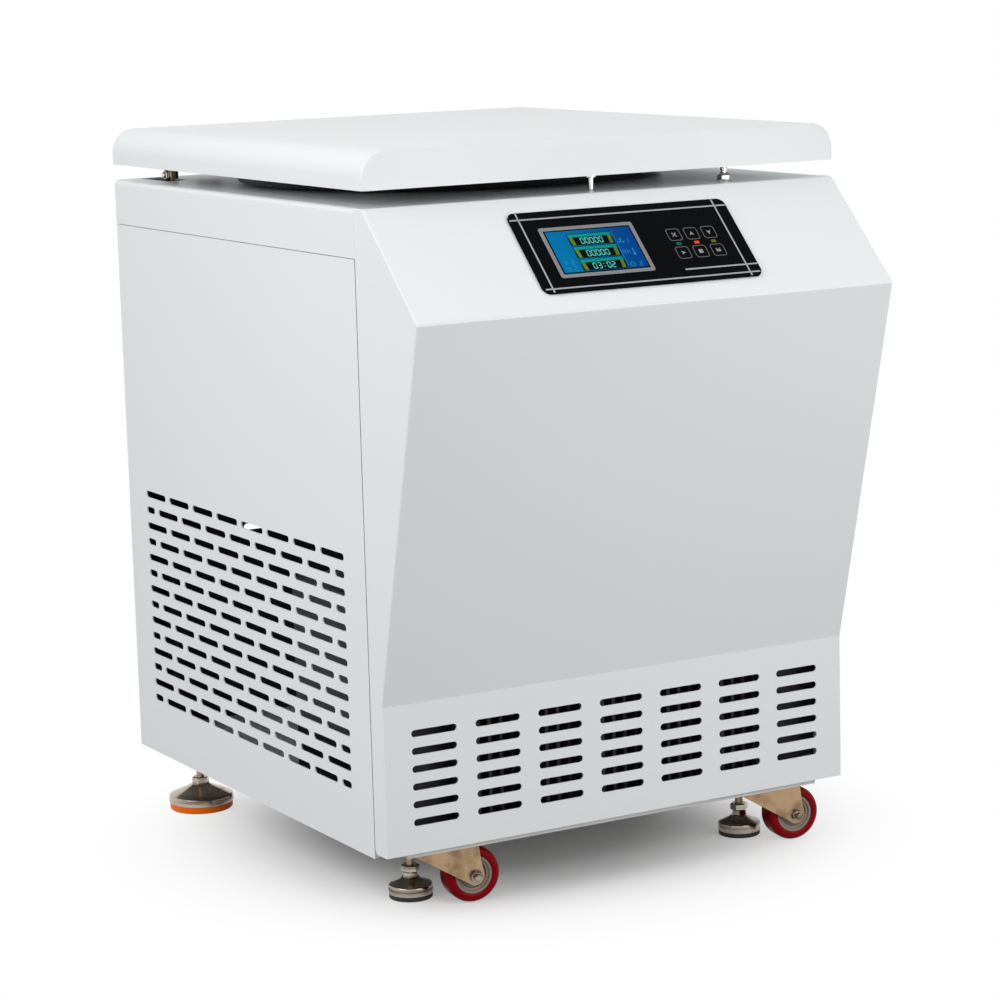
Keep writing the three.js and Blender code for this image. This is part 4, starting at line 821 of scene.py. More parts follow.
    def deliver(self, name: str, body: str, finishes: Sequence[Finish], stands_for: Sequence[str],
                frame: Optional[Matrix] = None, edge: float = 0.0) -> None:
        """Turn the form into a finished piece that rides on its body.

        Args:
            name: The piece's name.
            body: The body that it rides on.
            finishes: The finishes by number.
            stands_for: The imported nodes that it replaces.
            frame: The place of the form's own frame, in millimetres.
            edge: The width of a last bevel on sharp edges.
        """
        if frame is not None:
            bmesh.ops.transform(self.bm, matrix=frame, verts=self.bm.verts)
        made = self.place(name)
        mesh = made.data
        for finish in finishes:
            mesh.materials.append(finish.material())
        mesh.polygons.foreach_set("use_smooth", [True] * len(mesh.polygons))
        mesh.set_sharp_from_angle(angle=math.radians(SHARP_ANGLE))
        if edge:
            bevel = made.modifiers.new("edges", "BEVEL")
            bevel.width = edge * MM
            bevel.segments = 2
            bevel.limit_method = "ANGLE"
            bevel.angle_limit = math.radians(BEVEL_ANGLE)
        weigh = made.modifiers.new("flat_faces_first", "WEIGHTED_NORMAL")
        weigh.keep_sharp = True
        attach(made, body)
        if stands_for:
            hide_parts(*stands_for)
        log.info("%s: %d faces on %s", name, len(mesh.polygons), body)


@dataclass
class Assembly:
    """A sub-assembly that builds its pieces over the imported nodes."""

    nodes: dict[str, bpy.types.Object]

    def dress(self, finish: Finish, *names: str) -> None:
        """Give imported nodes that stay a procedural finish.

        Args:
            finish: The finish.
            names: The nodes.
        """
        for name in names:
            for slot in self.nodes[name].material_slots:
                slot.material = finish.material()
            log.info("%s: kept, in %s", name, finish.name)


@dataclass
class Lid(Assembly):
    """Rolled lid shell with its round black liner, seal, striker and buffers."""

    half: float = 300.0
    front: float = -270.5
    rear: float = 381.5
    under: float = 794.0
    top: float = 836.0
    roll: Bend = (28.0, 12)
    fold: Bend = (4.0, 4)
    wall: float = 1.5
    gap: float = 0.3
    centre: tuple = (0.0, 79.0, 0.0)
    liner_radius: float = 255.0
    liner_low: float = 778.9
    seal_radius: float = 224.0
    seal_low: float = 775.85
    round_steps: int = 128
    striker: tuple = (0.0, -236.0, 0.0)
    striker_tip: float = 727.7
    buffer_x: float = 200.0
    buffer_half: float = 13.0
    buffer_y: Point = (309.0, 331.0)
    buffer_low: float = 783.2

    def build(self) -> None:
        """Build and dress all of it."""
        self.shell()
        self.liner()
        self.seal()
        self.strike_pin()
        self.buffers()
        self.dress(WHITE, "lid_inner_plate")

    def shell(self) -> None:
        """Build the painted shell."""
        form = Form()
        form.cover(self.half, (self.front, self.rear), (self.under, self.top), self.roll, self.fold)
        form.thicken(self.wall)
        form.deliver("lid_shell", "lid", [WHITE], ["lid_cover"])

    def liner(self) -> None:
        """Build the tapered liner with its lip."""
        form = Form()
        r, low, top = self.liner_radius, self.liner_low, self.under - self.gap
        form.lathe([(0.0, low + 1.2), (r - 50.0, low + 1.2), (r - 47.0, low), (r - 9.0, low),
                    (r - 6.0, low + 1.0), (r - 4.8, low + 3.4), (r - 2.2, top - 2.6), (r - 0.8, top - 1.8),
                    (r, top - 1.2), (r, top), (0.0, top)], self.centre, steps=self.round_steps)
        form.deliver("lid_liner_tray", "lid", [LINER], ["lid_liner"])

    def seal(self) -> None:
        """Build the seal ring under the liner."""
        form = Form()
        r, low = self.seal_radius, self.seal_low
        lip = [(r - 5.0, low + 1.35), (r - 2.8, low + 0.25), (r, low), (r + 2.8, low + 0.25),
               (r + 5.0, low + 1.35), (r + 5.0, low + 2.75), (r - 5.0, low + 2.75)]
        form.lathe([*lip, lip[0]], self.centre, steps=self.round_steps)
        form.deliver("lid_seal", "lid", [RUBBER], ["lid_gasket"])

    def strike_pin(self) -> None:
        """Build the striker pin with its neck and cap."""
        form = Form()
        tip, top = self.striker_tip, self.under - self.gap
        form.lathe([(0.0, tip), (1.6, tip), (3.0, tip + 3.0), (3.0, tip + 7.6), (2.0, tip + 8.4),
                    (2.0, tip + 17.6), (3.0, tip + 18.4), (3.0, top - 4.4), (5.4, top - 4.2),
                    (5.9, top - 3.6), (5.9, top), (0.0, top)], self.striker, steps=32)
        form.deliver("striker_pin", "lid", [CHROME], ["lock_striker"])

    def buffers(self) -> None:
        """Build the two dark buffer blocks under the lid's rear."""
        (front, rear), half = self.buffer_y, self.buffer_half
        for side, name in SIDES:
            form = Form()
            x = side * self.buffer_x
            form.block((x - half, front, self.buffer_low), (x + half, rear, self.under - 0.2), 1.5)
            form.deliver(f"lid_buffer_{name}", "lid", [BLACK_PLASTIC], ())


@dataclass
class Deck(Assembly):
    """Deck and collar with the chamber's mouth, the hinge slots, and the lid's stop stud."""

    half: float = Lid.half
    front: float = -249.7
    rear: float = 378.0
    low: float = 722.5
    top: float = 775.5
    corner: Bend = (6.0, 6)
    fold: Bend = (2.0, 3)
    wall: float = 1.5
    mouth: float = 212.0
    centre: Point = Lid.centre[:2]
    striker: Point = Lid.striker[:2]
    striker_hole: float = 6.0
    slot_at: Point = (253.0, 333.5)
    slot_size: Point = (30.0, 75.0)
    slot_corner: float = 3.0
    ear_x: Point = (233.5, 272.5)
    ear_y: Point = (338.0, 366.0)
    ear_z: Point = (735.0, 774.2)
    ear_half: float = 2.5
    stud: Point = (175.0, -236.0)
    stud_gap: float = 0.3
    stud_flange: tuple = ((0.0, 0.0), (8.3, 0.0), (8.5, 0.5), (8.5, 1.6), (7.6, 2.2), (0.0, 2.2))
    stud_hexagon: float = 8.0
    stud_neck: tuple = ((0.0, 6.0), (6.4, 6.6), (4.6, 8.6), (3.4, 9.4), (3.4, 11.2), (4.1, 11.8),
                        (4.1, 14.6), (3.5, 15.0), (3.5, 15.8), (4.1, 16.2), (4.1, 17.6), (3.6, 17.9),
                        (0.0, 17.9))

    def build(self) -> None:
        """Build and dress all of it."""
        self.collar()
        self.stop_stud()
        self.dress(BLACK_PLASTIC, "lid_lock_housing")
        self.dress(ZINC_BRIGHT, "lock_bolt")

    def collar(self) -> None:
        """Build the folded deck sheet and the ears that carry the hinge."""
        form = Form()
        form.cover(self.half, (self.front, self.rear), (self.low, self.top), self.corner, self.fold)
        holes = [circle(self.mouth, self.centre, 128), circle(self.striker_hole, self.striker, 24)]
        x, y = self.slot_at
        holes += [round_rectangle(*self.slot_size, self.slot_corner, (side * x, y)) for side, _ in SIDES]
        form.punch(form.facing((0, 0, 1)), [[Axis.Z.ring(hole, self.top) for hole in holes]])
        form.thicken(self.wall)
        (front, rear), (low, high), half = self.ear_y, self.ear_z, self.ear_half
        for x in (side * ear for side, _ in SIDES for ear in self.ear_x):
            form.block((x - half, front, low), (x + half, rear, high), 1.0)
        form.deliver("deck_collar", "cabinet", [WHITE], ["top_deck"])

    def stop_stud(self) -> None:
        """Build the chromed stop stud: flange, hexagon and grooved neck."""
        form = Form()
        x, y = self.stud
        z = self.top + self.stud_gap
        form.lathe(self.stud_flange, (x, y, z))
        form.rod(self.stud_hexagon, (x, y, z + 2.0), (x, y, z + 6.6), 6, 0.8, 12)
        form.lathe(self.stud_neck, (x, y, z), steps=32)
        form.deliver("lid_stop_stud", "cabinet", [CHROME], ["lid_stop"])


@dataclass
class Panels(Assembly):
    """Slotted side and rear panels with the mains inlet."""

    face_x: float = 299.0
    front: float = Deck.front
    rear: float = Deck.rear
    low: float = 72.0
    top: float = 721.7
    corner: float = 0.8
    wall: float = 1.5
    reveal: float = 2.9
    inset: float = 1.8
    flange_x: float = 270.3
    return_size: Point = (16.0, 60.0)
    slot: Point = (56.0, 8.0)
    pitch: float = 66.8
    row_pitch: float = 19.5
    rows: int = 14
    columns: int = 8
    first_row: float = 143.0
    rear_pitch: float = 79.2
    rear_first_row: float = 330.0
    rear_rows: int = 4
    screw_x: Point = (286.0, 96.0)
    screw_z: tuple = (84.0, 300.0, 505.0, 710.0)
    inlet: Point = (190.0, 150.0)
    inlet_hole: Point = (44.6, 68.6)
    inlet_face: Point = (50.0, 74.0)
    socket_drop: float = 17.0
    switch_rise: float = 18.0
    rocker_y: float = 374.5
    rocker_lean: float = 10.0

    def build(self) -> None:
        """Build and dress all of it."""
        for side, name in SIDES:
            self.side(side, name)
        self.back()
        self.screws()
        self.mains()
        self.rocker()

    def slots(self) -> list[list[list[Point]]]:
        """List the brick pattern's round-ended slots.

        Returns:
            The rows upwards, each with its slots' outlines in Y and Z.
        """
        middle = (self.front + self.rear) / 2
        length, height = self.slot
        short = length - self.pitch / 2
        reach = (self.columns * self.pitch - (self.pitch - length) - short) / 2
        rows = []
        for row in range(self.rows):
            z = self.first_row + row * self.row_pitch
            count = self.columns if row % 2 else self.columns - 1
            places = [(middle + (i - (count - 1) / 2) * self.pitch, length) for i in range(count)]
            if row % 2 == 0:
                places += [(middle - reach, short), (middle + reach, short)]
            rows.append([air_slot(size, height, (y, z)) for y, size in sorted(places)])
        return rows

    def side(self, side: int, name: str) -> None:
        """Build one side panel with its lower flange and a short return at the front.

        Args:
            side: -1 for the left, 1 for the right.
            name: The side's name.
        """
        form = Form()
        x = side * self.face_x
        front = self.front + self.reveal
        corners = round_rectangle(self.rear - front, self.top - self.low, self.corner,
                                  ((front + self.rear) / 2, (self.top + self.low) / 2), 2)
        skin = form.face(Axis.X.ring(corners, x), Vector((side, 0, 0)))
        form.punch(skin, [[Axis.X.ring(hole, x) for hole in row] for row in self.slots()])
        # The inner faces take finish 1, the near-black painted shade.
        form.thicken(self.wall, 1)
        inside = self.face_x - self.wall + 0.1
        wide, tall = self.return_size
        near, far = span(side, self.flange_x, inside)
        form.block((near, front, self.low), (far, self.rear - self.inset, self.low + self.wall), 0.4)
        near, far = span(side, self.face_x - wide, inside)
        form.block((near, front, self.low), (far, front + self.wall, self.low + tall), 0.4)
        form.deliver(f"{name}_slotted_panel", "cabinet", [WHITE, PAINTED_SHADE_DARK], [f"{name}_side_panel"])

    def back(self) -> None:
        """Build the rear panel with its slots and the inlet's hole."""
        form = Form()
        corners = round_rectangle(2 * (self.face_x - self.inset), self.top - self.low, self.corner,
                                  (0.0, (self.top + self.low) / 2), 2)
        rows = [[round_rectangle(*self.inlet_hole, 1.0, self.inlet)]]
        for row in range(self.rear_rows):
            z = self.rear_first_row + row * self.row_pitch
            rows.append([air_slot(*self.slot, ((column - 1.5) * self.rear_pitch, z)) for column in range(4)])
        skin = form.face(Axis.Y.ring(corners, self.rear), Vector((0, 1, 0)))
        form.punch(skin, [[Axis.Y.ring(hole, self.rear) for hole in row] for row in rows])
        # The inner faces take finish 1, the near-black painted shade.
        form.thicken(self.wall, 1)
        form.deliver("rear_slotted_panel", "cabinet", [WHITE, PAINTED_SHADE_DARK], ["rear_panel"])

    def screws(self) -> None:
        """Build the rear panel's slotted pan-head screws."""
        form = Form()
        outer, inner = self.screw_x
        places = [(x, z) for x in (-outer, outer) for z in self.screw_z]
        places += [(x, z) for x in (-inner, inner) for z in (self.screw_z[0], self.screw_z[-1])]
        for x, z in places:
            form.lathe([(0.0, 1.9), (1.4, 1.9), (3.0, 1.4), (4.1, 0.0)], (x, self.rear, z), Axis.Y, 20)
            form.block((x - 1.9, self.rear + 1.6, z - 0.35), (x + 1.9, self.rear + 2.0, z + 0.35))
        form.deliver("rear_panel_screws", "cabinet", [ZINC_BRIGHT], ())

    def mains(self) -> None:
        """Build the mains inlet with its wells, its three pins and its two screws."""
        x, z = self.inlet
        form = Form()
        back, face = self.rear + 0.3, self.rear + 2.3
        wells = (((26.0, 18.0), 3.0, z - self.socket_drop, 16.0),
                 ((18.8, 28.4), 1.5, z + self.switch_rise, 13.0))
        rings = [round_rectangle(*size, corner, (x, v)) for size, corner, v, _ in wells]
        form.plate(round_rectangle(*self.inlet_face, 4, (x, z)), rings, Axis.Y, back, face)
        for ((width, height), corner, v, depth), ring in zip(wells, rings):
            sleeve = round_rectangle(width + 2, height + 2, corner, (x, v))
            form.plate(sleeve, [ring], Axis.Y, face - depth, back)
            form.prism(sleeve, Axis.Y, face - depth - 1.5, face - depth)
        form.finish = 1
        for u, v in ((x, z - 13.2), (x - 7, z - 19.2), (x + 7, z - 19.2)):
            form.block((u - 1, face - 14, v - 2), (u + 1, face - 3, v + 2), 0.3)
        form.finish = 2
        for drop in (-33, 33):
            form.lathe([(0.0, 1.4), (1.2, 1.4), (2.8, 0.9), (3.4, 0.0)], (x, face, z + drop), Axis.Y, 20)
        form.deliver("mains_socket", "cabinet", [BLACK_PLASTIC, CHROME, ZINC_BRIGHT], ["mains_inlet"])

    def rocker(self) -> None:
        """Build the power switch's rocker with its two marks."""
        form = Form()
        x, z = self.inlet
        upper = [(2.0, 0.6), (3.5, 11.4), (3.2, 12.0)]
        section = [(-3.5, -10.5), *mirrored(upper), *upper, (-3.5, 10.5)]
        faces = form.prism(section, Axis.X, -9, 9)
        form.round(form.creases(faces, 50), 0.6, 2)
        form.finish = 1
        low, high = 2.9, 3.35
        form.block((-0.5, low, 5.0), (0.5, high, 9.2))
        form.plate(circle(2.2, (0.0, -7.6), 24), [circle(1.5, (0.0, -7.6), 24)], Axis.Y, low, high)
        frame = frame_at((x, self.rocker_y, z + self.switch_rise), self.rocker_lean, "X")
        form.deliver("mains_rocker", "rocker", [SWITCH, ICON], ["power_rocker"], frame)


@dataclass
class FrontCover(Assembly):
    """Folded front cover: control slope, knee, undercut slope, slotted foot face and cheeks."""

    half: float = Lid.half
    back: float = -250.5
    bottom: float = 79.0
    foot_y: float = -276.5
    crease_z: float = 245.5
    knee: Point = (-381.5, 664.0)
    slope_top: Point = (-268.0, 775.5)
    chamfer: float = 4.5
    bend: Bend = (4.0, 4)
    edge: Bend = (1.6, 3)
    wall: float = 1.5
    slot: Point = Panels.slot
    slot_pitch: float = 79.2
    row_pitch: float = 19.7
    first_row: float = 113.5
    rows: int = 6
    columns: int = 7
    window_gap: float = 4.0

    def build(self) -> None:
        """Build and dress the cover."""
        form = Form()
        profile = [(self.foot_y, self.bottom), (self.foot_y, self.crease_z), self.knee, self.slope_top,
                   (self.back, self.slope_top[1]), (self.back, self.bottom + self.chamfer),
                   (self.back - self.chamfer, self.bottom)]
        faces = form.prism(profile, Axis.X, -self.half, self.half)
        form.bm.normal_update()
        open_sides = [face for face in faces if face.normal.y > 0.5 or face.normal.z < -0.9]
        bmesh.ops.delete(form.bm, geom=open_sides, context="FACES")
        self.fold(form)
        self.punch(form)
        # The inner faces take finish 1, the near-black painted shade.
        form.thicken(self.wall, 1)
        form.deliver("folded_front_cover", "cabinet", [WHITE, PAINTED_SHADE_DARK], ["front_cover"])

    def fold(self, form: Form) -> None:
        """Round the folds to the sheet's bend radius, and the cheeks' edges.

        Args:
            form: The cover's form.
        """
        radius, steps = self.bend
        for edge in form.creases(form.bm.faces, 10):
            if edge.is_valid and abs(edge.verts[0].co.x - edge.verts[1].co.x) > self.half:
                form.round([edge], radius * math.tan(edge.calc_face_angle() / 2), steps)
        form.round(form.creases(form.bm.faces, 60), *self.edge)

    def punch(self, form: Form) -> None:
        """Cut the air slots and the display's window.

        Args:
            form: The cover's form.
        """
        rows = []
        for row in range(self.rows):
            z = self.first_row + row * self.row_pitch
            places = [((i - (self.columns - 1) / 2) * self.slot_pitch, z) for i in range(self.columns)]
            rows.append([Axis.Y.ring(air_slot(*self.slot, place), self.foot_y) for place in places])
        form.punch(form.facing((0, -1, 0)), rows)
        panel = ControlPanel(self.nodes)
        width, height = panel.bezel
        window = round_rectangle(width + self.window_gap, height + self.window_gap, 2, panel.bezel_at)
        up = panel.frame.to_3x3() @ Vector((0, 0, 1))
        form.punch(form.facing(up), [[[panel.frame @ point for point in Axis.Z.ring(window, 0.0)]]])


SEGMENTS = {"0": "abcdef", "1": "bc", "2": "abdeg", "3": "abcdg"}


@dataclass
class ControlPanel(Assembly):
    """Black overlay with its printed lines, the display, the lamps and six keys."""

    knee: Point = FrontCover.knee
    slope_top: Point = FrontCover.slope_top
    size: Point = (276.0, 112.0)
    corner: float = 9.0
    top_margin: float = 23.2
    bezel: Point = (117.5, 70.0)
    bezel_x: float = -50.7
    bezel_lift: float = -2.3
    bezel_rise: float = 0.8
    screen: Point = (107.5, 60.0)
    picture: Point = (104.4, 56.8)
    screen_level: float = 3.0
    film: float = 0.06
    key: float = 17.5
    key_corner: float = 3.8
    key_depth: float = 1.2
    key_gap: float = 0.4
    key_floor: Point = (0.35, 0.9)
    key_line: tuple = ((0.2, 3.7), (2.4, 2.8))
    key_pitch: Point = (22.5, 25.7)
    key_x: float = 75.3
    key_drop: float = 3.3
    icon_scale: float = 0.88
    back: float = 0.3
    face: float = 2.7
    line_half: float = 0.95
    line_x: Point = (-126.6, 122.6)
    line_drops: tuple = (33.2, 129.8, 118.8)
    short_line_x: float = 44.0
    readout: Point = (55.0, 16.4)
    readout_x: float = -51.6
    readout_drop: float = 66.0
    readout_pitch: float = 17.6
    heading: float = 4.2
    side_bar: float = 4.4
    figure_pitch: float = 5.8
    large_figure: Point = (3.7, 7.6)
    large_stroke: float = 0.52
    small_figure: Point = (3.4, 5.8)
    small_stroke: float = 0.4
    lamp: Point = (6.2, 3.9)
    lamp_corner: float = 0.9
    lamp_x: tuple = (52.8, 76.0, 97.8)
    lamp_drop: float = 82.6
    frame: Matrix = field(init=False)
    half_slope: float = field(init=False)
    middle: float = field(init=False)
    bezel_at: Point = field(init=False)

    def __post_init__(self) -> None:
        """Work out the panel's own frame: X across, Y up the slope, Z out of it."""
        dy = self.slope_top[0] - self.knee[0]
        dz = self.slope_top[1] - self.knee[1]
        place = Vector((0, (self.slope_top[0] + self.knee[0]) / 2, (self.slope_top[1] + self.knee[1]) / 2))
        self.frame = Matrix.Translation(place) @ Matrix.Rotation(math.atan2(dz, dy), 4, "X")
        self.half_slope = math.hypot(dy, dz) / 2
        self.middle = self.half_slope - self.top_margin - self.size[1] / 2
        self.bezel_at = (self.bezel_x, self.middle + self.bezel_lift)

    def drop(self, s: float) -> float:
        """Return the height in the panel's frame of a place so far down the slope."""
        return self.half_slope - s

    def build(self) -> None:
        """Build and dress all of it."""
        self.overlay()
        self.print_lines()
        self.display()
        self.readouts()
        self.lamps()
        self.keys()

    def key_places(self) -> dict[str, Point]:
        """Work out where the keys sit.

        Returns:
            Each key's middle by name.
        """
        names = (("key_mode", "key_up", "key_down"), ("key_start", "key_stop", "key_enter"))
        return {name: (self.key_x + (column - 1) * self.key_pitch[0],
                       self.middle - self.key_drop + (0.5 - row) * self.key_pitch[1])
                for row, line in enumerate(names) for column, name in enumerate(line)}

    def overlay(self) -> None:
        """Build the overlay plate, with a floor under each key."""
        form = Form()
        outline = round_rectangle(*self.size, self.corner, (0, self.middle), 8)
        width, height = self.bezel
        holes = [round_rectangle(width + 0.5, height + 0.5, 3.2, self.bezel_at)]
        places = self.key_places().values()
        hole = self.key + self.key_gap
        holes += [round_rectangle(hole, hole, 4, place) for place in places]
        form.plate(outline, holes, Axis.Z, self.back, self.face)
        for place in places:
            form.prism(round_rectangle(self.key + 1, self.key + 1, 4, place), Axis.Z, *self.key_floor)
        form.deliver("overlay_plate", "cabinet", [PANEL_BLACK], ["control_panel"], self.frame,
                     0.35)

    def print_lines(self) -> None:
        """Build the thin silver lines."""
        form = Form()
        half, low, high = self.line_half, self.face - 0.1, self.face + 0.08
        x, y = self.size[0] / 2 - 0.6, self.size[1] / 2 - 0.6
        ends = ((0.2 - x, x - 0.2), (2 - x, x - 2), (self.short_line_x, x))
        for (start, end), s in zip(ends, self.line_drops):
            form.block((start, self.drop(s) - half, low), (end, self.drop(s) + half, high))
        for across in self.line_x:
            form.block((across - half, self.middle - y, low), (across + half, self.middle + y, high))
        form.deliver("overlay_lines", "cabinet", [PANEL_LINE], (), self.frame)

    def display(self) -> None:
        """Build the display's silver frame and its lit screen."""
        form = Form()
        (width, height), (wide, tall) = self.bezel, self.screen
        outline = round_rectangle(width, height, 3.0, self.bezel_at)
        hole = round_rectangle(wide + 0.6, tall + 0.6, 1.0, self.bezel_at)
        faces = form.plate(outline, [hole], Axis.Z, -1.0, self.face + self.bezel_rise)
        top = {e for e in form.creases(faces, 60) if min(v.co.z for v in e.verts) > self.face}
        form.round(top, 1.1, 3)
        form.finish = 1
        form.prism(round_rectangle(width - 4, height - 4, 2, self.bezel_at), Axis.Z, -18, 1.0)
        form.deliver("display_frame", "cabinet", [BEZEL, BLACK_PLASTIC], ["display_bezel"],
                     self.frame)
        x, y = self.bezel_at
        glass = Form()
        glass.block((x - wide / 2, y - tall / 2, 1.5), (x + wide / 2, y + tall / 2, 2.9), 0.3)
        glass.deliver("display_glass", "cabinet", [FIELD], ["display_screen"], self.frame)
        lit = Form()
        wide, tall = self.picture
        lit.block((x - wide / 2, y - tall / 2, 2.8), (x + wide / 2, y + tall / 2, self.screen_level))
        lit.deliver("display_picture", "cabinet", [SCREEN], (), self.frame)

    def bar(self, form: Form, points: Sequence[Point], place: Point, layer: int = 1) -> None:
        """Lay one small flat shape on the screen.

        Args:
            form: The form that takes it.
            points: Its outline.
            place: Its middle.
            layer: The film that it lies on: 0 is the picture itself.
        """
        low = self.screen_level + layer * self.film
        form.prism([(place[0] + u, place[1] + v) for u, v in points], Axis.Z, low, low + self.film)

    def digit(self, form: Form, figure: str, place: Point, size: Point, t: float) -> None:
        """Lay one figure made of lit strokes.

        Args:
            form: The form that takes it.
            figure: The figure.
            place: Its middle.
            size: Its width and height between strokes.
            t: Half a stroke's width.
        """
        w, h = size[0] / 2, size[1] / 2
        u, v = w - 0.15, h / 2 - 0.15
        flat = [(-u, 0), (-u + t, t), (u - t, t), (u, 0), (u - t, -t), (-u + t, -t)]
        tall = [(0, -v), (t, -v + t), (t, v - t), (0, v), (-t, v - t), (-t, -v + t)]
        strokes = {"a": (flat, 0, h), "g": (flat, 0, 0), "d": (flat, 0, -h), "b": (tall, w, h / 2),
                   "c": (tall, w, -h / 2), "e": (tall, -w, -h / 2), "f": (tall, -w, h / 2)}
        for letter in SEGMENTS[figure]:
            shape, u, v = strokes[letter]
            self.bar(form, shape, (place[0] + u, place[1] + v), 2)

    def readouts(self) -> None:
        """Build the three readouts and the small icons on the screen."""
        form = Form()
        x, (wide, tall), head, side = self.readout_x, self.readout, self.heading, self.side_bar
        for row, text in enumerate(("00000", "00000", "03:02")):
            y = self.drop(self.readout_drop + row * self.readout_pitch)
            form.finish = 0
            self.bar(form, round_rectangle(wide, tall, 0.4), (x, y), 0)
            form.finish = 1
            self.bar(form, round_rectangle(wide - 1.6, head, 0.3), (x, y + tall / 2 - head / 2 - 0.8))
            form.finish = 2
            top, foot = tall / 2 - head - 1.0, 0.6 - tall / 2
            for end in (-1, 1):
                slant = -0.8 * end
                shape = [(-side / 2, top), (side / 2, top), (side / 2 + slant, foot),
                         (slant - side / 2, foot)]
                self.bar(form, shape, (x + end * (wide / 2 - side / 2 - 1.4), y))
            form.finish = 3
            for i, figure in enumerate(text):
                u, v = x + (i - 2) * self.figure_pitch + 0.2, y - 2.3
                if figure == ":":
                    for lift in (-1.8, 1.8):
                        self.bar(form, circle(0.65, steps=8), (u, v + lift), 2)
                else:
                    self.digit(form, figure, (u, v), self.large_figure, self.large_stroke)
        form.finish = 4
        for figure, x, s in (("1", -9.4, 72.6), ("2", -6.4, 105.6), ("2", -87.4, 96.6), ("2", -87.0, 105.4)):
            self.digit(form, figure, (x, self.drop(s)), self.small_figure, self.small_stroke)
        self.icons(form)
        form.deliver("display_readouts", "cabinet", [FIELD, TEAL, LIME, DIGIT, PALE_BLUE], (),
                     self.frame)

    def icons(self, form: Form) -> None:
        """Lay the fan, thermometer and rotor icons and the thin rules on the screen.

        Args:
            form: The readouts' form.
        """
        shapes = [([(0.0, 0.0), *arc((0.0, 0.0), 3.8, turn - 24, turn + 24, 4)], -16.6, 72.6)
                  for turn in (90, 210, 330)]
        shapes += [(round_rectangle(1.3, 8.4, 0.6), -7.6, 87.4), (circle(1.7, steps=12), -7.6, 91.6)]
        shapes += [(round_rectangle(0.8, 6.2 - 0.5 * i, 0.3), -20.6 + 2.7 * i, 87.6) for i in range(4)]
        shapes += [(round_rectangle(4.8, 0.9, 0.3), -95.6, s) for s in (98.1, 95.1, 106.9, 103.9)]
        shapes += [(round_rectangle(0.5, 50.0, 0.2), -22.6, 82.6)]
        for shape, x, s in shapes:
            self.bar(form, shape, (x, self.drop(s)))
        ring = (-16.6, self.drop(105.6))
        low = self.screen_level + self.film
        form.plate(circle(3.4, ring, 12), [circle(2.5, ring, 12)], Axis.Z, low, low + self.film)

    def lamps(self) -> None:
        """Build the three indicator lamps between the keys' rows."""
        looks = (("green", LAMP_GREEN), ("red", LAMP_RED), ("olive", LAMP_OLIVE))
        for x, (name, finish) in zip(self.lamp_x, looks):
            form = Form()
            lens = round_rectangle(*self.lamp, self.lamp_corner, (x, self.drop(self.lamp_drop)))
            form.prism(lens, Axis.Z, self.face - 0.2, self.face + 0.12)
            form.deliver(f"{name}_lamp", "cabinet", [finish], (), self.frame)

    def keys(self) -> None:
        """Build the six keys with their printed outlines and icons."""
        arrow = [(0.0, 3.6), (3.1, -3.0), (0.0, -1.2), (-3.1, -3.0)]
        stroke = [(-3.4, 2.6), (-2.2, 3.4), (3.4, -2.6), (2.2, -3.4)]
        step = [(-3.0, 2.6), (-1.2, 2.6), (-1.2, 0.6), (3.2, 0.6), (3.2, -2.8), (-3.0, -2.8)]
        shapes = {"key_mode": [stroke, mirrored(stroke)], "key_up": [arrow], "key_down": [mirrored(arrow)],
                  "key_start": [[(v, -u) for u, v in arrow]], "key_stop": [round_rectangle(6.0, 6.0, 0.5)],
                  "key_enter": [step, [(0.6, 1.4), (3.2, 3.2), (3.2, 1.4)]]}
        low, high = self.face - 0.05, self.face + 0.08
        for name, (x, y) in self.key_places().items():
            form = Form()
            cap, outer, inner = (round_rectangle(self.key - less, self.key - less, corner, (x, y)) for
                                 less, corner in ((0, self.key_corner), *self.key_line))
            form.prism(cap, Axis.Z, self.face - self.key_depth, self.face)
            form.finish = 1
            form.plate(outer, [inner], Axis.Z, low, high)
            form.finish = 2
            for shape in shapes[name]:
                form.prism([(x + u * self.icon_scale, y + v * self.icon_scale) for u, v in shape], Axis.Z,
                           low, high)
            form.deliver(f"{name}_cap", f"body_{name}", [PANEL_BLACK, KEY_LINE, ICON], [name],
                         self.frame)


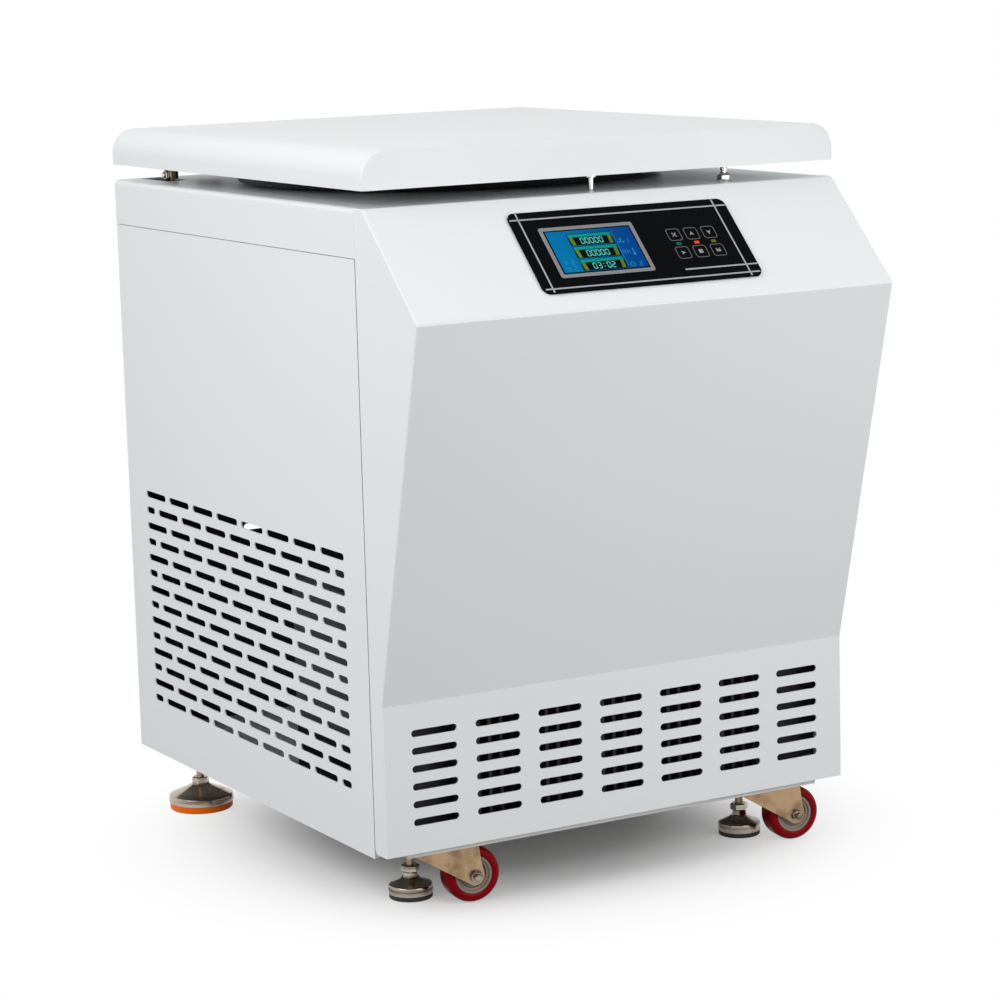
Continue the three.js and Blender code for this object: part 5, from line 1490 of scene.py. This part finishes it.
@dataclass
class Hinge(Assembly):
    """Lid hinge: goose-neck arms, shaft and gas springs."""

    axis: Point = (352.0, 748.0)
    elbow: Point = (314.0, 774.0)
    stud: Point = (331.155, 738.28)
    stud_radius: float = 3.0
    stud_end: float = 241.9
    flange_top: float = 793.7
    flange_half: float = 11.0
    flange_front: float = 7.0
    flange_rear: float = 37.0
    flange_wall: float = 4.0
    arm_x: float = 256.0
    thickness: float = 6.0
    width: float = 14.0
    lever_width: float = 13.0
    boss: float = 12.0
    bolt_at: Point = (318.0, 781.5)
    stop_x: Point = (246.0, 249.8)
    stop_y: Point = (308.0, 322.0)
    stop_z: Point = (777.0, 789.6)
    shaft: float = 6.0
    shaft_half: float = 276.5
    spring_x: float = 245.4
    foot: Point = (310.0, 486.0)
    lean: float = 4.2968
    length: float = 252.99
    tube: float = 9.0
    tube_length: float = 150.0
    piston: float = 4.0
    piston_low: float = 28.5
    eye: float = 9.5
    eye_half: float = 3.0
    foot_bore: float = 4.3
    rod_bore: float = 4.2

    def build(self) -> None:
        """Build and dress all of it."""
        for side, name in SIDES:
            self.arm(side, name)
            self.spring(side, name)
        shaft = Form()
        shaft.rod(self.shaft, (-self.shaft_half, *self.axis), (self.shaft_half, *self.axis), 32, 0.8)
        shaft.deliver("hinge_bar", "cabinet", [STEEL], ["hinge_shaft"])

    def strip(self, start: Point, end: Point, width: float) -> list[Point]:
        """Outline a bar with round ends.

        Args:
            start: One end's centre.
            end: The other end's centre.
            width: Its width.

        Returns:
            The outline.
        """
        turn = math.degrees(math.atan2(end[1] - start[1], end[0] - start[0]))
        return [*arc(end, width / 2, turn - 90, turn + 90, 10),
                *arc(start, width / 2, turn + 90, turn + 270, 10)]

    def arm(self, side: int, name: str) -> None:
        """Build one arm with its flange, bolt and black stop block.

        Args:
            side: -1 for the left, 1 for the right.
            name: The side's name.
        """
        form = Form()
        near, far = span(side, self.arm_x - self.thickness, self.arm_x)
        post_top = (self.elbow[0], self.flange_top - 3)
        for start, end, width in ((self.axis, self.elbow, self.width), (self.elbow, post_top, self.width),
                                  (self.axis, self.stud, self.lever_width)):
            faces = form.prism(self.strip(start, end, width), Axis.X, near, far)
            form.round(form.creases(faces, 60), 0.6, 2)
        form.rod(self.boss, (near, *self.axis), (far, *self.axis), 32, 0.6)
        middle = side * (self.arm_x - self.thickness / 2)
        half, top = self.flange_half, self.flange_top
        form.block((middle - half, self.elbow[0] - self.flange_front, top - self.flange_wall),
                   (middle + half, self.elbow[0] + self.flange_rear, top), 1.0)
        form.rod(self.stud_radius, (middle, *self.stud), (side * self.stud_end, *self.stud), 20, 0.4)
        form.finish = 1
        for radius, reach, sides, edge in ((7.0, 4.2, 6, 0.7), (3.6, 6.2, 16, 0.5)):
            ends = [(side * x, *self.bolt_at) for x in (self.arm_x, self.arm_x + reach)]
            form.rod(radius, *ends, sides, edge)
        form.finish = 2
        near, far = span(side, *self.stop_x)
        form.block((near, self.stop_y[0], self.stop_z[0]), (far, self.stop_y[1], self.stop_z[1]), 0.6)
        form.deliver(f"goose_neck_{name}", "lid", [ZINC_BRIGHT, CHROME, BLACK_PLASTIC],
                     [f"hinge_arm_{name}"])

    def eye_ring(self, form: Form, bore: float, place: Sequence[float] = (0.0, 0.0, 0.0)) -> None:
        """Add a spring's end eye.

        Args:
            form: The form that takes it.
            bore: Its inner radius.
            place: Its middle.
        """
        r, half = self.eye, self.eye_half
        upper = [(r, half - 0.4), (r - 0.3, half), (bore, half)]
        form.lathe([(bore, -half), *mirrored(upper)[1:], *upper, (bore, -half)], place, Axis.X, 32)

    def spring(self, side: int, name: str) -> None:
        """Build one gas spring: tube with a foot eye, and rod with its upper eye.

        Args:
            side: -1 for the left, 1 for the right.
            name: The side's name.
        """
        frame = frame_at((side * self.spring_x, *self.foot), -self.lean, "X")
        form = Form()
        r, top = self.tube, self.tube_length
        form.lathe([(4.4, top), (r - 1.4, top), (r, top - 1.6), (r, 12.0), (r - 1.4, 9.4), (0.0, 9.0)],
                   steps=32)
        self.eye_ring(form, self.foot_bore)
        form.deliver(f"gas_spring_body_{name}", f"spring_tube_{name}", [BLACK_ENAMEL],
                     [f"gas_spring_tube_{name}"], frame)
        form = Form()
        form.rod(self.piston, (0, 0, self.piston_low), (0, 0, self.length - 8.2), 24)
        self.eye_ring(form, self.rod_bore, (0, 0, self.length))
        form.deliver(f"gas_spring_piston_{name}", f"spring_rod_{name}", [CHROME], [f"gas_spring_rod_{name}"],
                     frame)


@dataclass(frozen=True)
class FootKind:
    """One kind of levelling foot: its pad, its disc, and the nut and stem above them."""

    pad: Finish
    pad_profile: tuple
    disc_profile: tuple
    base: float
    nut_turn: float
    collar: float
    steps: int


FRONT_FOOT = FootKind(
    RUBBER, ((0.0, 0.0), (23.6, 0.0), (24.4, 0.8), (24.4, 5.6), (0.0, 5.6)),
    ((0.0, 5.3), (24.6, 5.3), (25.0, 5.8), (25.0, 10.6), (24.3, 11.1), (24.3, 11.9), (25.0, 12.4),
     (25.0, 14.6), (24.3, 15.8), (22.6, 16.6), (18.2, 18.2), (14.0, 20.0), (11.4, 21.6), (10.0, 23.2),
     (9.6, 23.4), (0.0, 23.4)), base=22.8, nut_turn=8.0, collar=6.5, steps=64)
REAR_FOOT = FootKind(
    ORANGE_RUBBER, ((0.0, 0.0), (37.4, 0.0), (38.6, 1.2), (38.8, 8.8), (0.0, 8.8)),
    ((0.0, 8.5), (39.6, 8.5), (40.0, 9.2), (39.2, 16.4), (38.6, 17.4), (37.6, 18.0), (22.0, 24.6),
     (12.4, 28.8), (10.8, 30.4), (10.2, 31.4), (0.0, 31.4)), base=31.0, nut_turn=20.0, collar=0.0, steps=72)


@dataclass
class Running(Assembly):
    """What the machine stands and rolls on: base tray, casters and levelling feet."""

    base_x: float = 270.0
    base_front: float = -267.0
    base_rear: float = 376.2
    base_low: float = 72.0
    base_top: float = 91.0
    wall: float = 1.5
    wheel: float = 31.75
    wheel_width: float = 28.0
    fork_half: float = 15.5
    fork_top: float = 83.7
    fork_front: float = 46.0
    fork_back: float = 30.0
    plate: float = 3.0
    trail: float = 44.0
    axle: float = 4.0
    axle_reach: float = 6.0
    swivel_top: float = 95.0
    fork_at: Point = (216.0, -222.0)
    rear_at: Point = (150.0, 306.0)
    bracket_half: float = 30.0
    bracket_top: float = 89.4
    front_foot_at: Point = (221.0, -180.0)
    rear_foot_at: Point = (253.0, 306.0)
    stem_hole: float = 5.3
    swivel_hole: float = 6.3
    stem_radius: float = 5.0
    stem_top: float = 106.0
    foot_nut: Point = (10.5, 8.0)
    foot_collar: float = 9.0
    thread_pitch: float = 1.5
    thread_top: float = 76.0
    rest_turn: float = -8.0

    def build(self) -> None:
        """Build and dress all of it."""
        self.tray()
        for side, name in SIDES:
            swivel = frame_at((side * self.fork_at[0], self.fork_at[1], 0), self.rest_turn, "Z")
            self.fork(name, swivel)
            self.roller(f"front_{name}", f"wheel_front_{name}",
                        swivel @ Matrix.Translation((self.trail, 0, self.wheel)))
            self.roller(f"rear_{name}", f"wheel_rear_{name}",
                        frame_at((side * self.rear_at[0], self.rear_at[1], self.wheel), 90, "Z"))
            for end, kind, (x, y) in (("front", FRONT_FOOT, self.front_foot_at),
                                      ("rear", REAR_FOOT, self.rear_foot_at)):
                self.foot(f"{end}_{name}", kind, (side * x, y, 0.0))

    def tray(self) -> None:
        """Build the base tray with its lips and the fixed rear caster brackets."""
        form = Form()
        x = self.base_x
        form.block((-x, self.base_front, self.base_low), (x, self.base_rear, self.base_top))
        bmesh.ops.delete(form.bm, geom=[form.facing((0, 0, -1))], context="FACES_ONLY")
        form.round(form.creases(form.bm.faces, 60), 1.6, 3)
        holes = [circle(radius, (side * x, y), 20) for side, _ in SIDES for (x, y), radius in
                 ((self.fork_at, self.swivel_hole), (self.front_foot_at, self.stem_hole),
                  (self.rear_foot_at, self.stem_hole))]
        form.punch(form.facing((0, 0, 1)), [[Axis.Z.ring(hole, self.base_top) for hole in holes]])
        form.thicken(self.wall)
        form.finish = 1
        for side, _ in SIDES:
            self.bracket(form, side * self.rear_at[0])
        form.deliver("base_tray", "cabinet", [GREY, ZINC], ["base_frame"])

    def bracket(self, form: Form, x: float) -> None:
        """Add one fixed rear caster bracket with its axle and nuts.

        Args:
            form: The form that takes it.
            x: The place of its middle.
        """
        y, z, half = self.rear_at[1], self.wheel, self.bracket_half
        reach = self.fork_half + self.plate
        outline = [(y - half, self.bracket_top), *arc((y, z), 10.0, 200, 340, 10),
                   (y + half, self.bracket_top)]
        for face in (-1, 1):
            near, far = span(face, self.fork_half, reach)
            faces = form.prism(outline, Axis.X, x + near, x + far)
            form.round(form.creases(faces, 60), 0.5, 2)
        end = reach + self.axle_reach
        form.rod(self.axle, (x - end, y, z), (x + end, y, z), 20, 0.6)
        for face in (-1, 1):
            form.rod(7.5, (x + face * reach, y, z), (x + face * (reach + 5), y, z), 6, 0.7)

    def fork(self, name: str, swivel: Matrix) -> None:
        """Build one swivel fork.

        Args:
            name: The side's name.
            swivel: The place of its own frame.
        """
        form = Form()
        top, back, reach = self.fork_top, -self.fork_back, self.fork_half + self.plate
        outline = [(back, top), (self.trail + 2.4, top), (self.trail + 4.4, top - 12.4),
                   (self.trail + 7.4, self.wheel + 16), *arc((self.trail, self.wheel), 11.0, 20, -110, 12),
                   (back, top - 19)]
        for face in (-1, 1):
            faces = form.prism(outline, Axis.Y, *span(face, self.fork_half, reach))
            form.round(form.creases(faces, 60), 0.5, 2)
        form.block((back, -reach, top - self.plate), (self.fork_front, reach, top), 1.0)
        form.lathe([(0.0, top - 1.5), (23.5, top - 1.5), (25.0, top), (25.0, top + 3.4), (24.4, top + 4.0),
                    (0.0, top + 4.0)])
        form.rod(6.0, (0, 0, top), (0, 0, self.swivel_top), 24, 0.8)
        form.finish = 1
        end = reach + self.axle_reach
        form.rod(self.axle, (self.trail, -end, self.wheel), (self.trail, end, self.wheel), 20)
        for face in (-1, 1):
            self.nut(form, face, reach)
        form.deliver(f"caster_fork_{name}", f"fork_{name}", [ZINC, FOOT_STEEL_PAINTED_REFLECTIONS],
                     [f"front_{name}_caster_fork"], swivel)

    def nut(self, form: Form, face: int, reach: float) -> None:
        """Add an axle's washer, nut and rounded bolt end.

        Args:
            form: The form that takes them.
            face: -1 or 1, the side that they look to.
            reach: Where the fork's face lies.
        """
        def at(along: float) -> tuple:
            """Return a point on the axle."""
            return self.trail, face * (reach + along), self.wheel
        form.rod(7.6, at(-0.4), at(1.0), 28, 0.3)
        form.rod(7.0, at(1.0), at(5.4), 6, 0.8, 14)
        end = ((4.4, 0.0), (4.4, 3.4), (3.6, 4.7), (0.0, 5.2))
        form.lathe([(r, face * along) for r, along in end], at(5.0), Axis.Y, 24)

    def roller(self, name: str, body: str, frame: Matrix) -> None:
        """Build one wheel: red tyre and grey hub.

        Args:
            name: The wheel's name.
            body: The body that it rides on.
            frame: The place of its own frame, with the axle along Y.
        """
        half, r = self.wheel_width / 2, self.wheel
        form = Form()
        side = [(21.6, half - 1.6), (22.6, half - 0.4), (24.4, half), (26.4, half - 0.2)]
        side += [(r - 6.2 + 6.2 * math.sin(t), half - 6.4 + 6.2 * math.cos(t)) for t in
                 (math.radians(a) for a in (20, 35, 50, 65, 80, 90))]
        bore = 19.0
        form.lathe([(bore, 0.0), (bore, half - 3.0), *side, *mirrored(side), (bore, 3.0 - half),
                    (bore, 0.0)], axis=Axis.Y, steps=72)
        form.deliver(f"{name}_tyre", body, [TYRE], [f"{name}_wheel"], frame)
        hub = Form()
        rim = [(4.4, half - 0.6), (7.4, half - 0.6), (8.0, half - 1.4), (9.5, half - 5.4),
               (13.4, half - 6.0), (15.0, half - 5.6), (15.6, half - 3.0), (18.2, half - 2.6),
               (18.8, half - 1.2), (21.5, half - 1.0), (21.5, half - 2.2)]
        hub.lathe([*rim, *mirrored(rim), rim[0]], axis=Axis.Y, steps=64)
        hub.deliver(f"{name}_hub", body, [HUB], (), frame)

    def foot(self, name: str, kind: FootKind, place: Sequence[float]) -> None:
        """Build one levelling foot.

        Args:
            name: The foot's name.
            kind: Its kind.
            place: Its place on the floor.
        """
        form = Form()
        form.lathe(kind.pad_profile, place, steps=kind.steps)
        form.finish = 1
        form.lathe(kind.disc_profile, place, steps=kind.steps)
        self.stem(form, kind, place)
        form.deliver(f"{name}_levelling_foot", f"body_{name}_foot", [kind.pad, FOOT_STEEL_PAINTED_REFLECTIONS, ZINC_BRIGHT],
                     [f"{name}_foot"])

    def stem(self, form: Form, kind: FootKind, place: Sequence[float]) -> None:
        """Add a foot's lock nut and threaded stem, with a collar under the nut where it has one.

        Args:
            form: The form that takes them.
            kind: The foot's kind.
            place: Its place on the floor.
        """
        x, y, _ = place
        base, top = kind.base, kind.base + kind.collar
        radius, height = self.foot_nut
        if kind.collar:
            form.rod(self.foot_collar, (x, y, base - 1), (x, y, top + 0.1), 6, 0.8, kind.nut_turn + 21)
        foot = top if kind.collar else base - 0.6
        form.rod(radius, (x, y, foot), (x, y, top + height), 6, 1.1, kind.nut_turn)
        form.finish = 2
        turns = int((self.thread_top - base) / self.thread_pitch)
        form.thread(self.stem_radius, self.thread_pitch, (x, y, base + height), turns)
        form.rod(self.stem_radius - 0.6, (x, y, base), (x, y, self.stem_top), 18, 0.5)


@dataclass
class Chamber(Assembly):
    """Stainless bowl, rotor head, swing-out buckets and the shaft that drives them."""

    centre: tuple = Lid.centre
    inner: float = 210.0
    wall: float = 1.5
    corner: float = 24.0
    low: float = 507.2
    top: float = 773.2
    rim: float = 238.0
    shaft_hole: float = 16.0
    pivot_z: float = 665.0
    pivot: float = 105.0
    pin: float = 5.0
    head_reach: float = 113.0
    head_half: float = 12.0
    shoulder: float = 66.0
    bucket: float = 44.0
    bucket_wall: float = 6.0
    notch: float = 50.5
    notch_at: float = 90.1
    cup_low: float = -85.0
    cup_top: float = 14.0
    hub: tuple = ((10.3, -34.0), (26.0, -34.0), (30.0, -30.0), (30.0, 18.0), (22.0, 26.0), (10.3, 26.0),
                  (10.3, -34.0))
    shaft_radius: float = 10.0
    cap_radius: float = 17.0
    nut_radius: float = 16.4
    shaft_low: float = 387.3
    shaft_neck: float = 691.3
    shaft_top: float = 703.0
    nut_top: float = 711.2

    def build(self) -> None:
        """Build and dress all of it."""
        self.bowl()
        self.head()
        for i, letter in enumerate("abcd"):
            self.cup(f"bucket_{i + 1}", f"bucket_{letter}", 90.0 * i)
        self.shaft()
        self.dress(COPPER, "evaporator_coil", "refrigerant_line")
        self.dress(FOAM, "chamber_insulation")
        self.dress(RUBBER, "motor_mount_ring")
        self.dress(MOTOR_ENAMEL, "drive_motor")

    def shaft(self) -> None:
        """Build the drive shaft with its cap and nut."""
        form = Form()
        low, neck, top = self.shaft_low, self.shaft_neck, self.shaft_top
        thin, thick = self.shaft_radius, self.cap_radius
        form.lathe([(0.0, low), (thin, low), (thin, neck), (thick, neck), (thick, top), (0.0, top)],
                   self.centre, steps=40)
        x, y, _ = self.centre
        form.rod(self.nut_radius, (x, y, top - 0.4), (x, y, self.nut_top), 6, 1.6)
        form.deliver("rotor_shaft", "rotor", [STEEL], ["drive_shaft"])

    def bowl(self) -> None:
        """Build the pressed bowl with its round bottom corner and rolled rim."""
        form = Form()
        r, wall, low, top = self.inner, self.wall, self.low, self.top
        middle = (r - self.corner, low + wall + self.corner)
        inner = [(r, top), (r, middle[1] + 0.3), *arc(middle, self.corner, 0, -90, 8),
                 (self.shaft_hole, low + wall)]
        outer = [(self.shaft_hole, low), *arc(middle, self.corner + wall, -90, 0, 8), (r + wall, top - wall),
                 (self.rim, top - wall), (self.rim, top), (r, top)]
        form.lathe([*inner, *outer], self.centre, steps=Lid.round_steps)
        form.deliver("chamber_shell", "cabinet", [STEEL], ["chamber_bowl"])

    def head(self) -> None:
        """Build the rotor head: plate with four notches, pins and hub."""
        form = Form()
        reach, shoulder, notch = self.head_reach, self.shoulder, self.notch
        quarter = [*arc((self.notch_at, 0), notch, 270, 90, 20), (reach, notch), (reach, shoulder),
                   (shoulder, reach), (notch, reach)]
        quarters = [math.radians(90 * k) for k in range(4)]
        outline = [(Matrix.Rotation(turn, 2) @ Vector(point))[:] for turn in quarters for point in quarter]
        faces = form.prism(outline, Axis.Z, -self.head_half, self.head_half)
        form.round(form.creases(faces, 70), 2.0, 3)
        form.lathe(self.hub)
        form.finish = 1
        for turn in quarters:
            for side in (-1, 1):
                ends = [Matrix.Rotation(turn, 3, "Z") @ Vector((self.pivot, side * (notch + reach), 0))
                        for reach in (self.pin, -self.pin)]
                form.rod(self.pin, *ends, 24, 0.6)
        frame = Matrix.Translation((0, self.centre[1], self.pivot_z))
        form.deliver("rotor_cross", "rotor", [ALUMINIUM, STEEL], ["rotor_head"], frame)

    def cup(self, name: str, body: str, turn: float) -> None:
        """Build one swing-out bucket.

        Args:
            name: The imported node's name.
            body: The body that it rides on.
            turn: Its place round the rotor, in degrees.
        """
        form = Form()
        r, wall, low, top = self.bucket, self.bucket_wall, self.cup_low, self.cup_top
        form.lathe([(0.0, low), (r - 10, low), (r - 3, low + 3), (r, low + 10), (r, top - 1.6),
                    (r - 1.4, top), (r - wall + 1, top), (r - wall, top - 1.2), (r - wall, low + wall + 6),
                    (r - wall - 6, low + wall), (0.0, low + wall)], steps=56)
        form.lathe([(r - 0.3, -62.0), (r + 1.2, -61.0), (r + 1.2, -54.0), (r - 0.3, -53.0)], steps=56)
        for side in (-1, 1):
            near, far = span(side, r - wall / 2, r + 5.6)
            form.block((-9, near, -11), (9, far, 11), 1.6)
            near, far = span(side, r + 5.5, r + 5.7)
            form.lathe([(0.0, near), (5.2, near), (5.2, far), (0.0, far)], axis=Axis.Y, steps=24)
        frame = (frame_at((0, self.centre[1], self.pivot_z), turn, "Z")
                 @ Matrix.Translation((self.pivot, 0, 0)))
        form.deliver(f"{name}_cup", body, [ANODISED], [name], frame)


@dataclass
class Machinery(Assembly):
    """Refrigeration, electronics and the welded chassis behind the panels."""

    compressor_at: tuple = (135.0, -91.5, 91.3)
    can: tuple = ((0.0, 0.0), (58.0, 0.0), (64.0, 6.0), (66.0, 20.0), (66.0, 93.0), (73.4, 94.0),
                  (74.0, 95.0), (74.0, 102.0), (73.4, 103.0), (66.0, 104.0), (66.0, 150.0), (62.0, 168.0),
                  (52.0, 180.0), (34.0, 187.0), (8.0, 190.0), (0.0, 190.0))
    guide_x: Point = (205.0, 281.0)
    guide_y: Point = (-246.5, -233.0)
    guide_z: Point = (92.5, 262.0)
    guide_wall: float = 1.2

    def build(self) -> None:
        """Build and dress all of it."""
        self.compressor()
        # The chassis is dressed near-black as painted shade for the interior seen through the slots.
        self.dress(PAINTED_SHADE_DARK, "chassis_frame")
        self.dress(FINS, "condenser")
        self.dress(BLACK_PLASTIC, "fan_shroud", "condenser_fan")
        # The control box is dressed in black enamel, chosen this dark as painted shade for the interior seen
        # through the slots.
        self.dress(BLACK_ENAMEL, "control_box")
        self.air_guides()

    def compressor(self) -> None:
        """Build the compressor's can with its welded seam and domed top."""
        form = Form()
        form.lathe(self.can, self.compressor_at, steps=64)
        form.deliver("compressor_can", "cabinet", [BLACK_ENAMEL], ["compressor"])

    def air_guides(self) -> None:
        """Build the two black plates that close the air's way past the condenser's ends; their near-black
        finish is painted shade.
        """
        (front, rear), (low, top), wall = self.guide_y, self.guide_z, self.guide_wall
        for side, name in SIDES:
            form = Form()
            near, far = span(side, *self.guide_x)
            form.block((near, front, low), (far, front + wall, top), 0.3)
            form.block((near, front + 1.0, top - wall), (far, rear, top), 0.3)
            form.deliver(f"air_guide_{name}", "cabinet", [PAINTED_SHADE_DARK], ())


@dataclass
class Studio:
    """White floor and surround, soft lamps and the camera."""

    camera: tuple = (-1.8146, -3.1849, 1.0333)
    azimuth: float = -0.5203
    elevation: float = 0.1712
    roll: float = -0.0273
    lens: float = 113.81
    sensor: float = 36.0
    reach: float = 6000.0
    shadow: Point = (0.14, 0.52)
    glow: float = 0.62
    lamps: tuple = (("top_softbox", (-0.3, -0.6, 3.2), (0.0, 0.0, 0.6), (3.2, 3.2), 4.0),
                    ("front_softbox", (0.5, -1.7, 0.78), (0.0, -0.3, 0.7), (1.3, 0.9), 9.5),
                    ("left_softbox", (-1.9, -0.5, 1.5), (-0.3, 0.0, 0.6), (1.5, 1.2), 21.0))

    def build(self) -> None:
        """Set all of it up."""
        self.floor()
        self.surround()
        for lamp in self.lamps:
            self.lamp(*lamp)
        self.shot()
        bpy.context.scene.view_settings.view_transform = "Standard"

    def floor(self) -> None:
        """Lay the floor, which is white to the camera but keeps the shadow."""
        form = Form()
        form.face(Axis.Z.ring(round_rectangle(2 * self.reach, 2 * self.reach, 0.0), 0.0), Vector((0, 0, 1)))
        made = form.place("studio_floor")
        paint = Surface("studio_floor")
        pale = paint.blend(paint.noise(30.0), (0.93, 0.93, 0.93), (0.96, 0.96, 0.96))
        paint.feed(Base_Color=paint.blend(paint.seen(), (0.22, 0.22, 0.22), pale), Roughness=0.7)
        distance = paint.node("ShaderNodeVectorMath", {"operation": "LENGTH"}, {0: paint.place}, "Value")
        glow = paint.node("ShaderNodeEmission", None, {"Color": (1.0, 1.0, 1.0), "Strength": 1.0})
        shown = paint.seen() * distance.between(*self.shadow)
        lit = Signal(paint, paint.surface.outputs[0])
        mixed = paint.node("ShaderNodeMixShader", None, {0: shown, 1: lit, 2: glow})
        paint.join(paint.tree.nodes["Material Output"].inputs["Surface"], mixed)
        made.data.materials.append(paint.material)

    def surround(self) -> None:
        """Set the surround: white where it is seen, softer where it lights the machine."""
        world = bpy.data.worlds.new("studio_surround")
        bpy.context.scene.world = world
        world.use_nodes = True
        paint = Painter(world.node_tree)
        back = paint.tree.nodes["Background"]
        paint.join(back.inputs["Color"], (1.0, 1.0, 1.0))
        paint.join(back.inputs["Strength"], paint.seen() * (1.0 - self.glow) + self.glow)

    def lamp(self, name: str, place: Sequence[float], aim: Sequence[float], size: Point,
             power: float) -> None:
        """Hang one soft lamp.

        Args:
            name: Its name.
            place: Where it hangs, in metres.
            aim: What it points at.
            size: Its width and height.
            power: Its power in watts.
        """
        light = bpy.data.lights.new(name, "AREA")
        light.shape = "RECTANGLE"
        light.size, light.size_y = size
        light.energy = power
        made = put(name, light)
        made.location = place
        made.rotation_euler = (Vector(aim) - Vector(place)).to_track_quat("-Z", "Y").to_euler()

    def shot(self) -> None:
        """Set the camera up at the photograph's viewpoint."""
        data = bpy.data.cameras.new("studio_camera")
        data.lens = self.lens
        data.sensor_width = self.sensor
        made = put("studio_camera", data)
        level = math.cos(self.elevation)
        back = Vector((math.sin(self.azimuth) * level, -math.cos(self.azimuth) * level,
                       math.sin(self.elevation)))
        right = Vector((math.cos(self.azimuth), math.sin(self.azimuth), 0.0))
        turn = Matrix((right, back.cross(right), back)).transposed() @ Matrix.Rotation(self.roll, 3, "Z")
        made.matrix_world = Matrix.Translation(self.camera) @ turn.to_4x4()
        bpy.context.scene.camera = made


def main() -> None:
    """Build the machine sub-assembly by sub-assembly."""
    logging.basicConfig(level=logging.INFO, format="%(message)s")
    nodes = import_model()["nodes"]
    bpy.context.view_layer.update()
    Studio().build()
    for kind in (Running, FrontCover, ControlPanel, Panels, Deck, Lid, Hinge, Chamber, Machinery):
        kind(nodes).build()
        log.info("%s done", kind.__name__)


if __name__ == "__main__":
    main()
